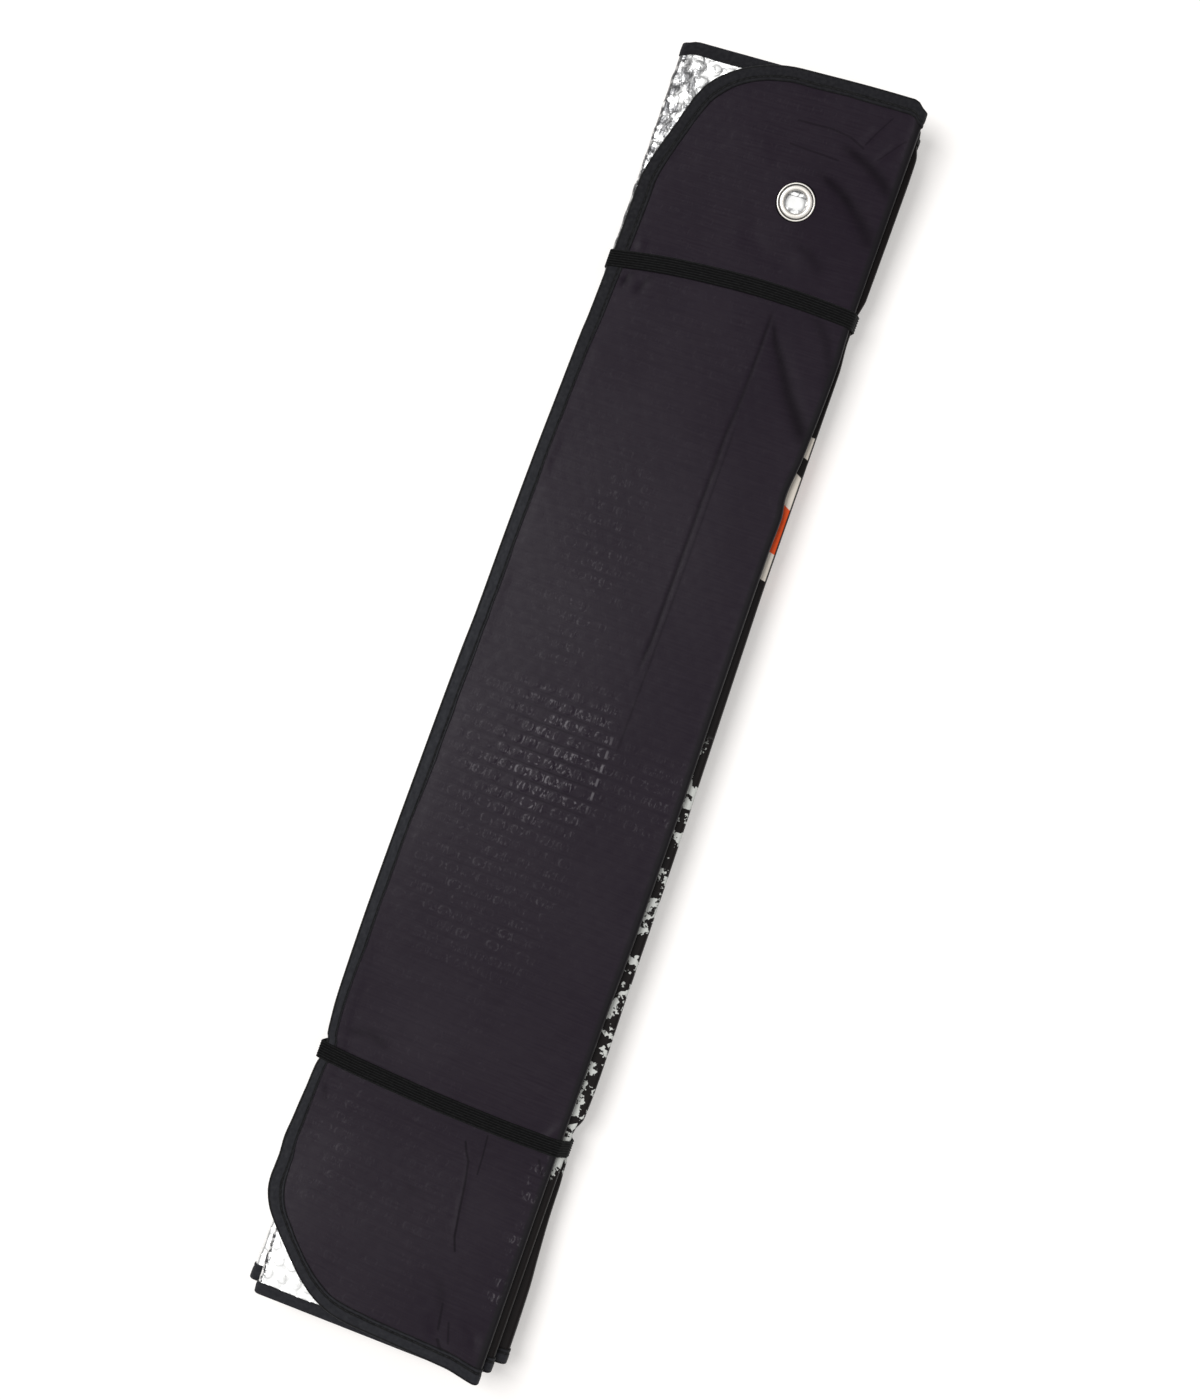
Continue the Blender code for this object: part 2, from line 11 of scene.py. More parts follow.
import bpy
import numpy as np
from mathutils import Matrix, Vector
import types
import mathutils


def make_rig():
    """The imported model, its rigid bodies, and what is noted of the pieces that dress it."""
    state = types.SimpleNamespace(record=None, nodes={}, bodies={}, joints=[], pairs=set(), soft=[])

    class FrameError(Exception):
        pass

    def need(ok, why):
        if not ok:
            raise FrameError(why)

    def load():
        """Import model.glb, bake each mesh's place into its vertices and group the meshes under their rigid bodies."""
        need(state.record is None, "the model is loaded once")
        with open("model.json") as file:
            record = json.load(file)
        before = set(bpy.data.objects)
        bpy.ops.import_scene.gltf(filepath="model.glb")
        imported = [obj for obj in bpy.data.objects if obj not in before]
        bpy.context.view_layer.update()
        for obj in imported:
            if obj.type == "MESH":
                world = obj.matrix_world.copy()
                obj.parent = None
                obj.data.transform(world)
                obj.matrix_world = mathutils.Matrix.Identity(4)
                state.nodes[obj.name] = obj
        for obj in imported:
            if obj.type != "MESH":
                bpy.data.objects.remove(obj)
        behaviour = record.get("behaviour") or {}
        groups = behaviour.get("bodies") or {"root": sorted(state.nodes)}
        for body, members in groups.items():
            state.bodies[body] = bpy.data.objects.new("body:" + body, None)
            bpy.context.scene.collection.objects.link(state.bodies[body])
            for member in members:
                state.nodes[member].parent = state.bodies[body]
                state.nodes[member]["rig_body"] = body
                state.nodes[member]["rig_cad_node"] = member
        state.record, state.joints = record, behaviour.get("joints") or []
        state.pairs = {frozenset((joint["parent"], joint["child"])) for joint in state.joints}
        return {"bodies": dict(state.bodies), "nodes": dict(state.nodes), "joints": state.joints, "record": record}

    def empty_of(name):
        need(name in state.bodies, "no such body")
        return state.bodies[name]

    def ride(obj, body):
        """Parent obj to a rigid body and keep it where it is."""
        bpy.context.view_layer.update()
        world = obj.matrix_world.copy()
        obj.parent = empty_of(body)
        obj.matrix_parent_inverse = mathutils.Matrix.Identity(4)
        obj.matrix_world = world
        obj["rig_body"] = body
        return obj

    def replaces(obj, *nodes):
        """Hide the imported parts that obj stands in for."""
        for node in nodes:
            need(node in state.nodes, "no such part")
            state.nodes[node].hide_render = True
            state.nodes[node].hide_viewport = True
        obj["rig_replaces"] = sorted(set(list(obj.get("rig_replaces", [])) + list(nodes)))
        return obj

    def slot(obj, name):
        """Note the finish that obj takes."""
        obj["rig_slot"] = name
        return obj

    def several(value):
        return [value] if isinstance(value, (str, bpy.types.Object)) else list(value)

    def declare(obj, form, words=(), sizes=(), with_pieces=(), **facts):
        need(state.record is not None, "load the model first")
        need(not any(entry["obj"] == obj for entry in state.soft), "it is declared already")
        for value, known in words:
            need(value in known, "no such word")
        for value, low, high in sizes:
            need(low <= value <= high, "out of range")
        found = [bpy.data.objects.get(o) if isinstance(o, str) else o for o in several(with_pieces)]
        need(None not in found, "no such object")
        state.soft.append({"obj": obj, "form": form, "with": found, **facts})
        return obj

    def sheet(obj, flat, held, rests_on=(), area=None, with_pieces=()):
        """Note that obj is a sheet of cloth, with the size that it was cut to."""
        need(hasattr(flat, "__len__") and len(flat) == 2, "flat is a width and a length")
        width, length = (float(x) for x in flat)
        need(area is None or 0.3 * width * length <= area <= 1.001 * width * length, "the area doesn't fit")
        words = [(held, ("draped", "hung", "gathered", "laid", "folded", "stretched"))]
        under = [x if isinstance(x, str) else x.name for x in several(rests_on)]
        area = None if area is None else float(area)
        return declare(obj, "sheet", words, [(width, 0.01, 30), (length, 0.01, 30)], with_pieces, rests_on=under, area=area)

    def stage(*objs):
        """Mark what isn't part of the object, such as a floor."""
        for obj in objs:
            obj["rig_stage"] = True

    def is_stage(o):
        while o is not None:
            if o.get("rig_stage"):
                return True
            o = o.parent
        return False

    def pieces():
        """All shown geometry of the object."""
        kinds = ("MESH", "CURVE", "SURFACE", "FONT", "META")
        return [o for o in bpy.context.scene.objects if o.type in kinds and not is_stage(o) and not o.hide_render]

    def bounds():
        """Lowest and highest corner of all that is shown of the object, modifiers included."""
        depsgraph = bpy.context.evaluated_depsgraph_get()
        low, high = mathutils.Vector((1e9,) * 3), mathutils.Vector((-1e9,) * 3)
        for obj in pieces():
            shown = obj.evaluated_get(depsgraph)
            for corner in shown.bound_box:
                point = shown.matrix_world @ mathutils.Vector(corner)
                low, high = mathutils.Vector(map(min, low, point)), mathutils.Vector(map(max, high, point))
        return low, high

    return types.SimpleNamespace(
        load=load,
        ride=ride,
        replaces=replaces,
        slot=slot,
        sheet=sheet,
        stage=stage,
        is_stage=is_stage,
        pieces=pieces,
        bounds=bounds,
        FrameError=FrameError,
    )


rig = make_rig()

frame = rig.load()
cad_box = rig.bounds()

MM = 0.001

# The flat sheet and its layers, as in the CAD
PANELS = 10
PANEL_WIDTH = 0.130
SHEET_WIDTH = PANELS * PANEL_WIDTH
SHEET_LENGTH = 0.700
HALF_LENGTH = SHEET_LENGTH / 2
CORNER_RADIUS = 0.062
CORNER_START = HALF_LENGTH - CORNER_RADIUS
FOLD_ALLOWANCE = 0.006
HALF_FOLD = FOLD_ALLOWANCE / 2
SHEET_HALF = 0.0008
TAPE_HALF = 0.00145
TAPE_PROUD = TAPE_HALF - SHEET_HALF
TAPE_WIDTH = 0.0076
TAPE_STANDS_OUT = 0.0009
STRAP_WIDTH = 0.0092
STRAP_THICK = 0.0010
STRAP_FROM_MIDDLE = 0.224
PINCH_HALF = 0.019
QUARTER_FROM_MIDDLE = 0.110
EYELET_FROM_FREE_EDGE = 0.0805
EYELET_FROM_END = 0.066
EYELET_OUTER_RADIUS = 0.01025
EYELET_HOLE_RADIUS = 0.00585
SHEET_HOLE_RADIUS = 0.0075
EYELET_ALONG = HALF_LENGTH - EYELET_FROM_END
EYELETS_ACROSS = (EYELET_FROM_FREE_EDGE, SHEET_WIDTH - EYELET_FROM_FREE_EDGE)

# The bundle's own middle, which the CAD's origin is under, from the straight stack's middle
BUNDLE_MIDDLE_X = 0.00107

# How the panels lie on each other, at the ends, the straps and the middle
PITCH_AT_ENDS = 0.0039
PITCH_AT_STRAPS = 0.0028
PITCH_IN_MIDDLE = 0.0033
RISE_AT_STRAPS = 0.0022

# Millimetres to the right of a straight stack at the far end, upper strap, upper quarter,
# middle, lower quarter, lower strap and near end, for each fold below the first panel
FOLD_SHIFTS_MM = {
    2: (-0.8, -0.8, -0.5, -1.0, -1.0, 1.0, 4.5),
    4: (2.0, 1.5, 0.0, -1.0, -1.0, 0.5, -1.0),
    6: (3.0, 2.0, 0.5, -0.5, 0.0, 1.5, 3.0),
    7: (0.5, 0.2, 0.8, 2.0, 3.2, 2.6, 6.0),
    8: (2.5, 2.0, 1.0, -0.5, -1.0, 1.0, 4.0),
    9: (0.0, -0.2, 0.4, 1.6, 2.6, 2.0, 4.0),
    10: (2.0, 1.0, -1.0, -2.0, -3.0, -1.0, -1.0),
}
# The long sides that show, in more detail, as (millimetres along, millimetres right)
DETAILED_SHIFTS_MM = {
    0: (
        (-350, -8.0), (-284, -8.2), (-274, -7.8), (-264, -8.4), (-253, -7.6), (-244, -7.05),
        (-234, -6.3), (-228.7, -6.05), (-223.5, -5.65), (-221, -5.2), (-218.3, -4.4),
        (-216.5, -3.8), (-209, -3.8), (-207, -4.9), (-202.8, -5.6), (-197.6, -6.1),
        (-191, -6.7), (-181, -7.1), (-160, -7.4), (-140, -7.5), (-98, -7.2), (-57, -6.7),
        (-15, -6.1), (5, -5.7), (26, -5.0), (67, -4.6), (109, -3.9), (150, -2.8),
        (181, -1.9), (191, -1.3), (214, -0.6), (234, 0.1), (258, 0.3), (350, 0.6),
    ),
    1: (
        (-350, -1.7), (-240, -1.3), (-155, -1.1), (-103, -0.3), (-52, -0.3), (31, -1.1),
        (104, -1.6), (123, -1.2), (136, -2.8), (156, -1.2), (207, 0.3), (232, -0.6),
        (350, -0.6),
    ),
    3: (
        (-350, 2.9), (-250, 3.0), (-232, 3.0), (-214, 3.0), (-205, 6.0), (-186, 6.6),
        (-140, 5.9), (-103, 5.7), (-52, 5.1), (0, 4.2), (52, 3.2), (93, 2.5), (205, 2.4),
        (224, 1.1), (236, 1.1), (241, 2.0), (247, 3.0), (310, 3.3), (325, 3.0), (334, 0.6),
        (350, -1.5),
    ),
    5: (
        (-350, 9.0), (-336, 9.3), (-302, 8.8), (-279, 7.3), (-258, 6.2), (-243, 5.9),
        (-236, 5.4), (-229, 5.0), (-225.5, 3.1), (-214, 3.1), (-205, 4.6), (-110, 4.2),
        (0, 2.6), (110, 1.0), (224, 0.6), (350, 1.5),
    ),
}
# How far each line of the sheet stops short of the longest one, at the far and near ends
END_SHORTFALLS_MM = (
    (10, 14), (1.4, 2.7), (9.8, 7), (10, 6), (12, 10.8), (12, 10),
    (14, 13), (12, 11), (15, 14), (13, 12), (16, 15),
)


def through(stations, at):
    """A smooth curve through (place, value) stations, straight beyond them, never overshooting."""
    places, values = (np.array(column, float) for column in zip(*sorted(stations)))
    steps = np.diff(places)
    slopes = np.diff(values) / steps
    tangents = np.zeros(len(places))
    tangents[0], tangents[-1] = slopes[0], slopes[-1]
    same_way = slopes[:-1] * slopes[1:] > 0
    before, after = slopes[:-1][same_way], slopes[1:][same_way]
    tangents[1:-1][same_way] = 2 * before * after / (before + after)
    index = np.clip(np.searchsorted(places, at) - 1, 0, len(steps) - 1)
    step = steps[index]
    share = (at - places[index]) / step
    t = np.clip(share, 0, 1)
    low, high = tangents[index], tangents[index + 1]
    value = (
        values[index] * (1 + 2 * t) * (1 - t) ** 2
        + values[index + 1] * t * t * (3 - 2 * t)
        + step * (low * t * (1 - t) ** 2 - high * t * t * (1 - t))
    )
    return value + (share - t) * step * np.where(share < 0, low, high)


def smooth_step(low, high, at):
    t = np.clip((at - low) / (high - low), 0, 1)
    return t * t * (3 - 2 * t)


def lengthwise(far_end, upper_strap, upper_quarter, middle, lower_quarter, lower_strap, near_end):
    """Stations along the bundle, the straps' values being held over the width they pinch."""
    outer = STRAP_FROM_MIDDLE + PINCH_HALF
    inner = STRAP_FROM_MIDDLE - PINCH_HALF
    return (
        (-HALF_LENGTH, near_end), (-outer, lower_strap), (-inner, lower_strap),
        (-QUARTER_FROM_MIDDLE, lower_quarter), (0.0, middle), (QUARTER_FROM_MIDDLE, upper_quarter),
        (inner, upper_strap), (outer, upper_strap), (HALF_LENGTH, far_end),
    )


PITCH_STATIONS = lengthwise(
    PITCH_AT_ENDS, PITCH_AT_STRAPS, PITCH_IN_MIDDLE, PITCH_IN_MIDDLE,
    PITCH_IN_MIDDLE, PITCH_AT_STRAPS, PITCH_AT_ENDS,
)
RISE_STATIONS = lengthwise(
    RISE_AT_STRAPS, RISE_AT_STRAPS, 0.0, 0.0, 0.0, RISE_AT_STRAPS, RISE_AT_STRAPS,
)
SIDE_STATIONS = [
    [(along * MM, shift * MM) for along, shift in DETAILED_SHIFTS_MM[line]]
    if line in DETAILED_SHIFTS_MM else lengthwise(*(shift * MM for shift in FOLD_SHIFTS_MM[line]))
    for line in range(PANELS + 1)
]


def pitch(along):
    """How far apart the panels' middles lie."""
    return through(PITCH_STATIONS, along)


def line_x(line, along):
    """The outermost place of a fold, or of a bound free edge."""
    nominal = -PANEL_WIDTH / 2 if line % 2 == 0 else PANEL_WIDTH / 2
    return nominal + through(SIDE_STATIONS[line], line_y(line, along)) - BUNDLE_MIDDLE_X


def line_y(line, along):
    """Where the bundle has a place of a line that is so far along the flat sheet."""
    short_far, short_near = END_SHORTFALLS_MM[line]
    far_y = HALF_LENGTH - short_far * MM
    near_y = -HALF_LENGTH + short_near * MM
    return near_y + (far_y - near_y) * (0.5 + along / SHEET_LENGTH)


def turning_x(line, along, spacing):
    """Where a panel starts to turn into a fold, or ends inside the binding."""
    inwards = 1 if line % 2 == 0 else -1
    if 0 < line < PANELS:
        return line_x(line, along) + inwards * (spacing / 2 + SHEET_HALF)
    return line_x(line, along) + inwards * TAPE_STANDS_OUT


# How far the ends of a fold draw in more than the panels beside it, at the far and near ends,
# and how far from the fold that reaches
END_PULLS_MM = {1: (4.2, -2.0), 2: (1.9, 0.0), 3: (3.0, 0.5), 5: (3.0, 1.0), 7: (3.0, 1.0)}
FAR_PULL_REACH = 0.0075
NEAR_PULL_REACH = 0.019
END_PULL_FULL = 0.001
END_PULL_FROM = 0.29
# Dents that pull the first panel's round corners in: (along, half length, inwards) in mm
CORNER_DENTS_MM = ((306, 34, 5.6), (-305, 15, -1.2), (-337, 24, 4.2))
CORNER_DENT_REACH = 0.045
# Dents of the first panel's ends: (end, across, half width, inwards) in mm, the far end being 1
END_DENTS_MM = ((1, 100, 45, -0.6), (-1, 20, 30, 2.3))
END_DENT_STARTS, END_DENT_FULL = 0.25, 0.32


def hill(distance):
    """A soft hill from 1 at no distance down to 0 at a distance of 1 either way."""
    return np.clip(1 - distance**2, 0, 1)


def end_pull(across, along):
    """How much the sheet's ends draw in beside the folds, as a shift along."""
    line = np.rint(across / PANEL_WIDTH)
    reach = np.where(along > 0, FAR_PULL_REACH, NEAR_PULL_REACH)
    near_fold = 1 - smooth_step(END_PULL_FULL, reach, np.abs(across - line * PANEL_WIDTH))
    shift = np.zeros_like(across)
    for each, (far, near) in END_PULLS_MM.items():
        amount = np.where(along > 0, -far * MM, near * MM)
        shift += np.where(line == each, amount, 0)
    return shift * near_fold * smooth_step(END_PULL_FROM, HALF_LENGTH, np.abs(along))


def corner_dents(across, along):
    """How far the first panel's outer edge is pushed sideways at its round corners."""
    reach = 1 - smooth_step(0, CORNER_DENT_REACH, across)
    shift = np.zeros_like(across)
    for middle, half_length, inwards in CORNER_DENTS_MM:
        shift += inwards * MM * hill((along / MM - middle) / half_length) ** 2
    return shift * reach


def end_dents(across, along):
    """How far the first panel's ends are pushed in, as a shift along."""
    shift = np.zeros_like(across)
    for end, middle, half_width, inwards in END_DENTS_MM:
        near = hill((across / MM - middle) / half_width) ** 2
        at_end = smooth_step(END_DENT_STARTS, END_DENT_FULL, end * along)
        shift -= end * inwards * MM * near * at_end
    return shift


# Soft forms of the first panel, as (x, y, half length, half width, height) in mm
SWELLS_MM = ((-5, 0, 175, 62, 1.3), (0, 300, 60, 60, 0.7), (0, -300, 60, 60, 0.7))


def swells(x, y):
    """Broad soft hills on the first panel, which all its layers share."""
    height = np.zeros_like(x)
    for middle_x, middle_y, half_length, half_width, top in SWELLS_MM:
        across = hill((x / MM - middle_x) / half_width)
        height += top * MM * across * hill((y / MM - middle_y) / half_length) ** 2
    return height


# How far from the last panel's binding the sheet bends down to the ground
CURL_REACH = 0.006


def folded(across, along, out):
    """Places of the flat sheet, moved to where folding puts them, as an array of points."""
    across, along, out = (
        np.asarray(part, float).ravel() for part in np.broadcast_arrays(across, along, out)
    )
    line = np.clip(np.rint(across / PANEL_WIDTH), 0, PANELS).astype(int)
    in_fold = across - line * PANEL_WIDTH
    folds = (line > 0) & (line < PANELS) & (np.abs(in_fold) < HALF_FOLD)
    panel = np.clip(np.floor(across / PANEL_WIDTH), 0, PANELS - 1).astype(int)
    spacing = pitch(along)
    rise = through(RISE_STATIONS, along)
    turns = np.stack([turning_x(each, along, spacing) for each in range(PANELS + 1)])
    ends = np.stack([line_y(each, along) for each in range(PANELS + 1)])
    column = np.arange(len(across))

    start = panel * PANEL_WIDTH + np.where(panel > 0, HALF_FOLD, 0)
    stop = (panel + 1) * PANEL_WIDTH - np.where(panel < PANELS - 1, HALF_FOLD, 0)
    share = (across - start) / (stop - start)
    flat_x = turns[panel, column] * (1 - share) + turns[panel + 1, column] * share
    flat_y = ends[panel, column] * (1 - share) + ends[panel + 1, column] * share
    from_edge = SHEET_WIDTH - across
    curl = 1 - smooth_step(TAPE_WIDTH, TAPE_WIDTH + CURL_REACH, from_edge)
    flat_z = (
        rise + SHEET_HALF + (PANELS - 1 - panel) * spacing
        + np.where(panel % 2 == 0, out, -out)
        + curl * np.clip(TAPE_PROUD - rise, 0, None)
    )

    left = line % 2 == 0
    radius = spacing / 2 + np.where(left, -out, out)
    turn = math.pi * (0.5 + in_fold / FOLD_ALLOWANCE)
    fold_x = turns[line, column] + np.where(left, -1, 1) * radius * np.sin(turn)
    fold_z = rise + SHEET_HALF + (PANELS - 0.5 - line) * spacing + radius * np.cos(turn)

    x = np.where(folds, fold_x, flat_x) + corner_dents(across, along)
    y = np.where(folds, ends[line, column], flat_y)
    y = y + end_pull(across, along) + end_dents(across, along)
    z = np.where(folds, fold_z, flat_z)
    on_first = 1 - smooth_step(PANEL_WIDTH - HALF_FOLD, PANEL_WIDTH, across)
    z = z + on_first * swells(x, y)
    return np.stack([x, y, z], axis=1)


def end_of_sheet(across):
    """Half the sheet's length at places across it, less where its corners are round."""
    from_side = np.clip(np.minimum(across, SHEET_WIDTH - across), 0, CORNER_RADIUS)
    lean = CORNER_RADIUS - from_side
    return CORNER_START + np.sqrt(CORNER_RADIUS**2 - lean**2)


def lattice_noise(x, y, cell_x, cell_y, seed):
    """Smooth seeded noise from -1 to 1 over a plane, with cells of the given sizes."""
    u, v = x / cell_x, y / cell_y
    iu, iv = np.floor(u).astype(int), np.floor(v).astype(int)
    fu, fv = u - iu, v - iv
    fu, fv = fu * fu * (3 - 2 * fu), fv * fv * (3 - 2 * fv)
    low_u, low_v = iu.min(), iv.min()
    random = np.random.default_rng(seed)
    table = random.uniform(-1, 1, (iu.max() - low_u + 2, iv.max() - low_v + 2))
    iu, iv = iu - low_u, iv - low_v
    return (
        table[iu, iv] * (1 - fu) * (1 - fv) + table[iu + 1, iv] * fu * (1 - fv)
        + table[iu, iv + 1] * (1 - fu) * fv + table[iu + 1, iv + 1] * fu * fv
    )


def grid_mesh(name, points, uvs, rows, columns, keep=None, closed=(False, False), fields=()):
    """A mesh of quads over a grid of points, with the flat places as its UV map.

    keep says which quads to keep by the flat places of their middles. fields are pairs of a
    name and a value for each point, which the mesh carries for its material.
    """
    index = np.arange(rows * columns).reshape(rows, columns)
    used = slice(None)
    if closed[0]:
        index = np.vstack([index, index[:1]])
    if closed[1]:
        index = np.hstack([index, index[:, :1]])
    quads = np.stack([index[:-1, :-1], index[:-1, 1:], index[1:, 1:], index[1:, :-1]], axis=-1)
    quads = quads.reshape(-1, 4)
    if keep is not None:
        quads = quads[keep(uvs[quads].mean(axis=1))]
        used = np.unique(quads)
        renumber = np.zeros(len(points), int)
        renumber[used] = np.arange(len(used))
        quads, points, uvs = renumber[quads], points[used], uvs[used]
    mesh = bpy.data.meshes.new(name)
    mesh.from_pydata(points.tolist(), [], quads.tolist())
    layer = mesh.uv_layers.new(name="flat")
    layer.data.foreach_set("uv", uvs[quads.ravel()].ravel())
    for field, values in fields:
        mesh.attributes.new(field, "FLOAT", "POINT").data.foreach_set("value", values[used])
    mesh.shade_smooth()
    return mesh


def new_piece(name, mesh, material, slot, *replaced):
    """A piece of the dressed part that rides on its root, in place of some of its nodes."""
    piece = bpy.data.objects.new(name, mesh)
    bpy.context.scene.collection.objects.link(piece)
    mesh.materials.append(material)
    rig.ride(piece, "root")
    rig.slot(piece, slot)
    if replaced:
        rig.replaces(piece, *replaced)
    return piece


# Bubbles of the foil, in rows across the panels
BUBBLE_ACROSS = 0.0080
BUBBLE_ALONG = 0.0077
BUBBLE_RADIUS = 0.0033
BUBBLE_TABLE = (257, 263)


def bubble_places(across, along):
    """How far each place is from its nearest bubble's middle, and that bubble's numbers."""
    row = np.rint(along / BUBBLE_ALONG)
    shift = np.where(row.astype(int) % 2 == 0, 0.0, 0.5)
    number = np.rint(across / BUBBLE_ACROSS - shift)
    dx = across - (number + shift) * BUBBLE_ACROSS
    dy = along - row * BUBBLE_ALONG
    return np.hypot(dx, dy), row.astype(int), number.astype(int)


def per_bubble(row, number, seed):
    """A seeded value from 0 to 1 for each bubble."""
    table = np.random.default_rng(seed).uniform(0, 1, BUBBLE_TABLE)
    return table[row % BUBBLE_TABLE[0], number % BUBBLE_TABLE[1]]


def domes(across, along, seed):
    """Bubble shapes from 0 to 1, some of them partly flattened."""
    distance, row, number = bubble_places(across, along)
    firmness = 0.45 + 0.55 * per_bubble(row, number, seed)
    rounded = np.clip(1 - (distance / BUBBLE_RADIUS) ** 2, 0, 1)
    return firmness * rounded**0.7


def sheet_grid(places, rows_between, rows_at_ends):
    """The flat places, and the shape, of a grid whose outer rows follow the round corners."""
    middle = np.asarray(rows_between)
    share = np.asarray(rows_at_ends)
    end = end_of_sheet(places)
    straight = middle[-1]
    top = straight + (end[None, :] - straight) * share[:, None]
    rows = np.vstack([-top[::-1], np.repeat(middle[:, None], len(places), axis=1), top])
    across = np.repeat(places[None, :], len(rows), axis=0)
    return across.ravel(), rows.ravel(), rows.shape


def fold_places(line, steps):
    return line * PANEL_WIDTH + np.linspace(-HALF_FOLD, HALF_FOLD, steps + 1)


def corner_places(steps):
    turn = np.linspace(0, math.pi / 2, steps + 1)
    return CORNER_RADIUS * (1 - np.cos(turn))


def clear_of_eyelets(places):
    """Which of some flat places lie outside the eyelets' holes in the sheets."""
    kept = np.ones(len(places), bool)
    for across in EYELETS_ACROSS:
        kept &= np.hypot(places[:, 0] - across, places[:, 1] - EYELET_ALONG) > SHEET_HOLE_RADIUS
    return kept


def wide_cells(start, stop, size):
    count = max(1, round((stop - start) / size))
    return np.linspace(start, stop, count + 1)


def panel_places(panel, size):
    """Places across a panel, from one fold's start to the other's."""
    return wide_cells(panel * PANEL_WIDTH + HALF_FOLD, (panel + 1) * PANEL_WIDTH - HALF_FOLD, size)


LEAST_CELL = 0.0002


def merged(*groups):
    """All the places in order, leaving out any that nearly repeat another."""
    places = np.sort(np.concatenate(groups))
    return places[np.concatenate([[True], np.diff(places) > LEAST_CELL])]


# Creases of the first panel's cloth: the points they pass, half width and height, all in mm
CREASES_MM = (
    (((22.5, 226), (22.5, 200), (20.4, 154), (20.2, 97), (19.9, 45), (17.9, 20)), 1.3, -0.10),
    (((15.8, -233), (20.4, -244), (22.5, -254), (24.5, -275), (27.6, -290)), 1.6, 0.12),
    (((24.5, 216), (36, 199), (45, 185), (61.8, 166)), 5.0, -0.35),
    (((30.8, 314), (43.7, 310), (54, 305), (61.8, 299)), 3.5, -0.30),
    (((24.6, 297), (36, 292), (48, 283), (60, 273)), 4.5, -0.35),
    (((47.0, 334), (41.0, 326), (36.0, 316)), 1.6, 0.3),
    (((57.0, 328), (49.0, 316), (45.0, 308)), 1.6, 0.3),
    (((-53, 219), (-58, 209)), 1.8, -0.5),
    (((-43.2, 219), (-49.4, 208)), 2.2, -0.5),
    (((-57, 232), (-50, 236)), 2.2, 0.5),
    (((-66, 112), (-54, 112)), 1.2, -0.35),
    (((50, -228), (57, -216), (61, -206)), 2.0, 0.5),
    (((40, -316), (52, -326), (58, -338)), 2.4, -0.6),
    (((26, -322), (35, -334), (44, -340)), 2.4, -0.5),
    (((-10, 262), (10, 252), (30, 250)), 6.0, -0.5),
    (((-60, 300), (-30, 304), (0, 300)), 7.0, 0.5),
)


# Painted shade of the same cloth's creases and hollows, as soft dark lines: places, widths at both ends and how dark,
# in mm
SOFT_SHADE_MM = (
    (
        (
            (23.0, 228), (22.5, 221), (22.5, 200), (22.2, 180), (21.7, 169), (20.4, 154),
            (20.7, 138), (20.2, 118), (20.2, 97), (19.9, 76), (19.7, 61), (19.7, 40), (18.4, 22),
        ), (0.9, 1.2), 0.52,
    ),
    (((24.1, 165), (23.8, 107), (23.5, 66), (23.0, 35), (22.5, 9), (22.0, -24)), 0.55, 0.36),
    (
        (
            (22.6, 223), (25.1, 218), (28.7, 210), (36, 199.4), (44.2, 186), (55.6, 172),
            (63, 160),
        ), (1.0, 4.6), 0.66,
    ),
    (((38, 230), (47, 226), (53.5, 219), (60.2, 206), (62, 190)), (2.5, 3.2), 0.36),
    (((24, 316), (32, 314.2), (43.7, 310), (54, 304.4), (64, 295)), (1.8, 3.6), 0.62),
    (((18, 301), (26, 296.6), (36, 292.5), (45, 285.8)), (1.8, 2.8), 0.60),
    (((33, 294), (40, 290), (49.9, 282.2), (64, 268)), (2.0, 4.6), 0.55),
    (((18, 262), (30, 258), (44, 248)), (1.8, 3.6), 0.32),
    (((-51, 222), (-53, 218.6), (-57.5, 208)), 1.3, 0.55),
    (((-42, 223), (-43.6, 219), (-49.4, 206)), 1.3, 0.45),
    (((-67, -198), (-60, -201), (-49.4, -198.7), (-34.4, -204.8)), 2.2, 0.34),
    (((-64.8, -224), (-64.3, -230), (-61.2, -238), (-57, -243.6)), 1.1, 0.40),
    (((-10, -262), (-2, -268), (6, -270)), 1.6, 0.20),
    (((24, -300), (31, -316), (33, -326)), 2.4, 0.25),
)


# How far from its ends such a line fades, in mm
LINE_FADE_MM = 12.0


def along_lines(x, y, lines_mm):
    """A field over the first panel: each line's own value at its middle, fading out beside it."""
    field = np.zeros_like(x)
    for points, widths, top in lines_mm:
        first_width, last_width = widths if isinstance(widths, tuple) else (widths, widths)
        best = np.full(len(x), 1e9)
        run = np.zeros(len(x))
        total = sum(math.dist(a, b) for a, b in zip(points, points[1:]))
        before = 0.0
        for start, stop in zip(points, points[1:]):
            length = math.dist(start, stop)
            ux, uy = (stop[0] - start[0]) / length, (stop[1] - start[1]) / length
            dx, dy = x / MM - start[0], y / MM - start[1]
            t = np.clip(dx * ux + dy * uy, 0, length)
            distance = np.hypot(dx - t * ux, dy - t * uy)
            nearer = distance < best
            best = np.where(nearer, distance, best)
            run = np.where(nearer, before + t, run)
            before += length
        fade_length = min(LINE_FADE_MM, total / 2)
        fade = smooth_step(0, fade_length, run) * (1 - smooth_step(total - fade_length, total, run))
        width = first_width + (last_width - first_width) * run / total
        field += top * np.exp(-((best / width) ** 2)) * fade
    return field


def eyelet_distance(across, along, eyelet_across):
    return np.hypot(across - eyelet_across, along - EYELET_ALONG)


BUBBLES_SHOW_THROUGH = 0.00012
# Waves of the first panel's cloth: how high, how long each way, and the seed
CLOTH_WAVES = ((0.00035, 0.055, 0.040, 21), (0.00006, 0.030, 0.012, 22))


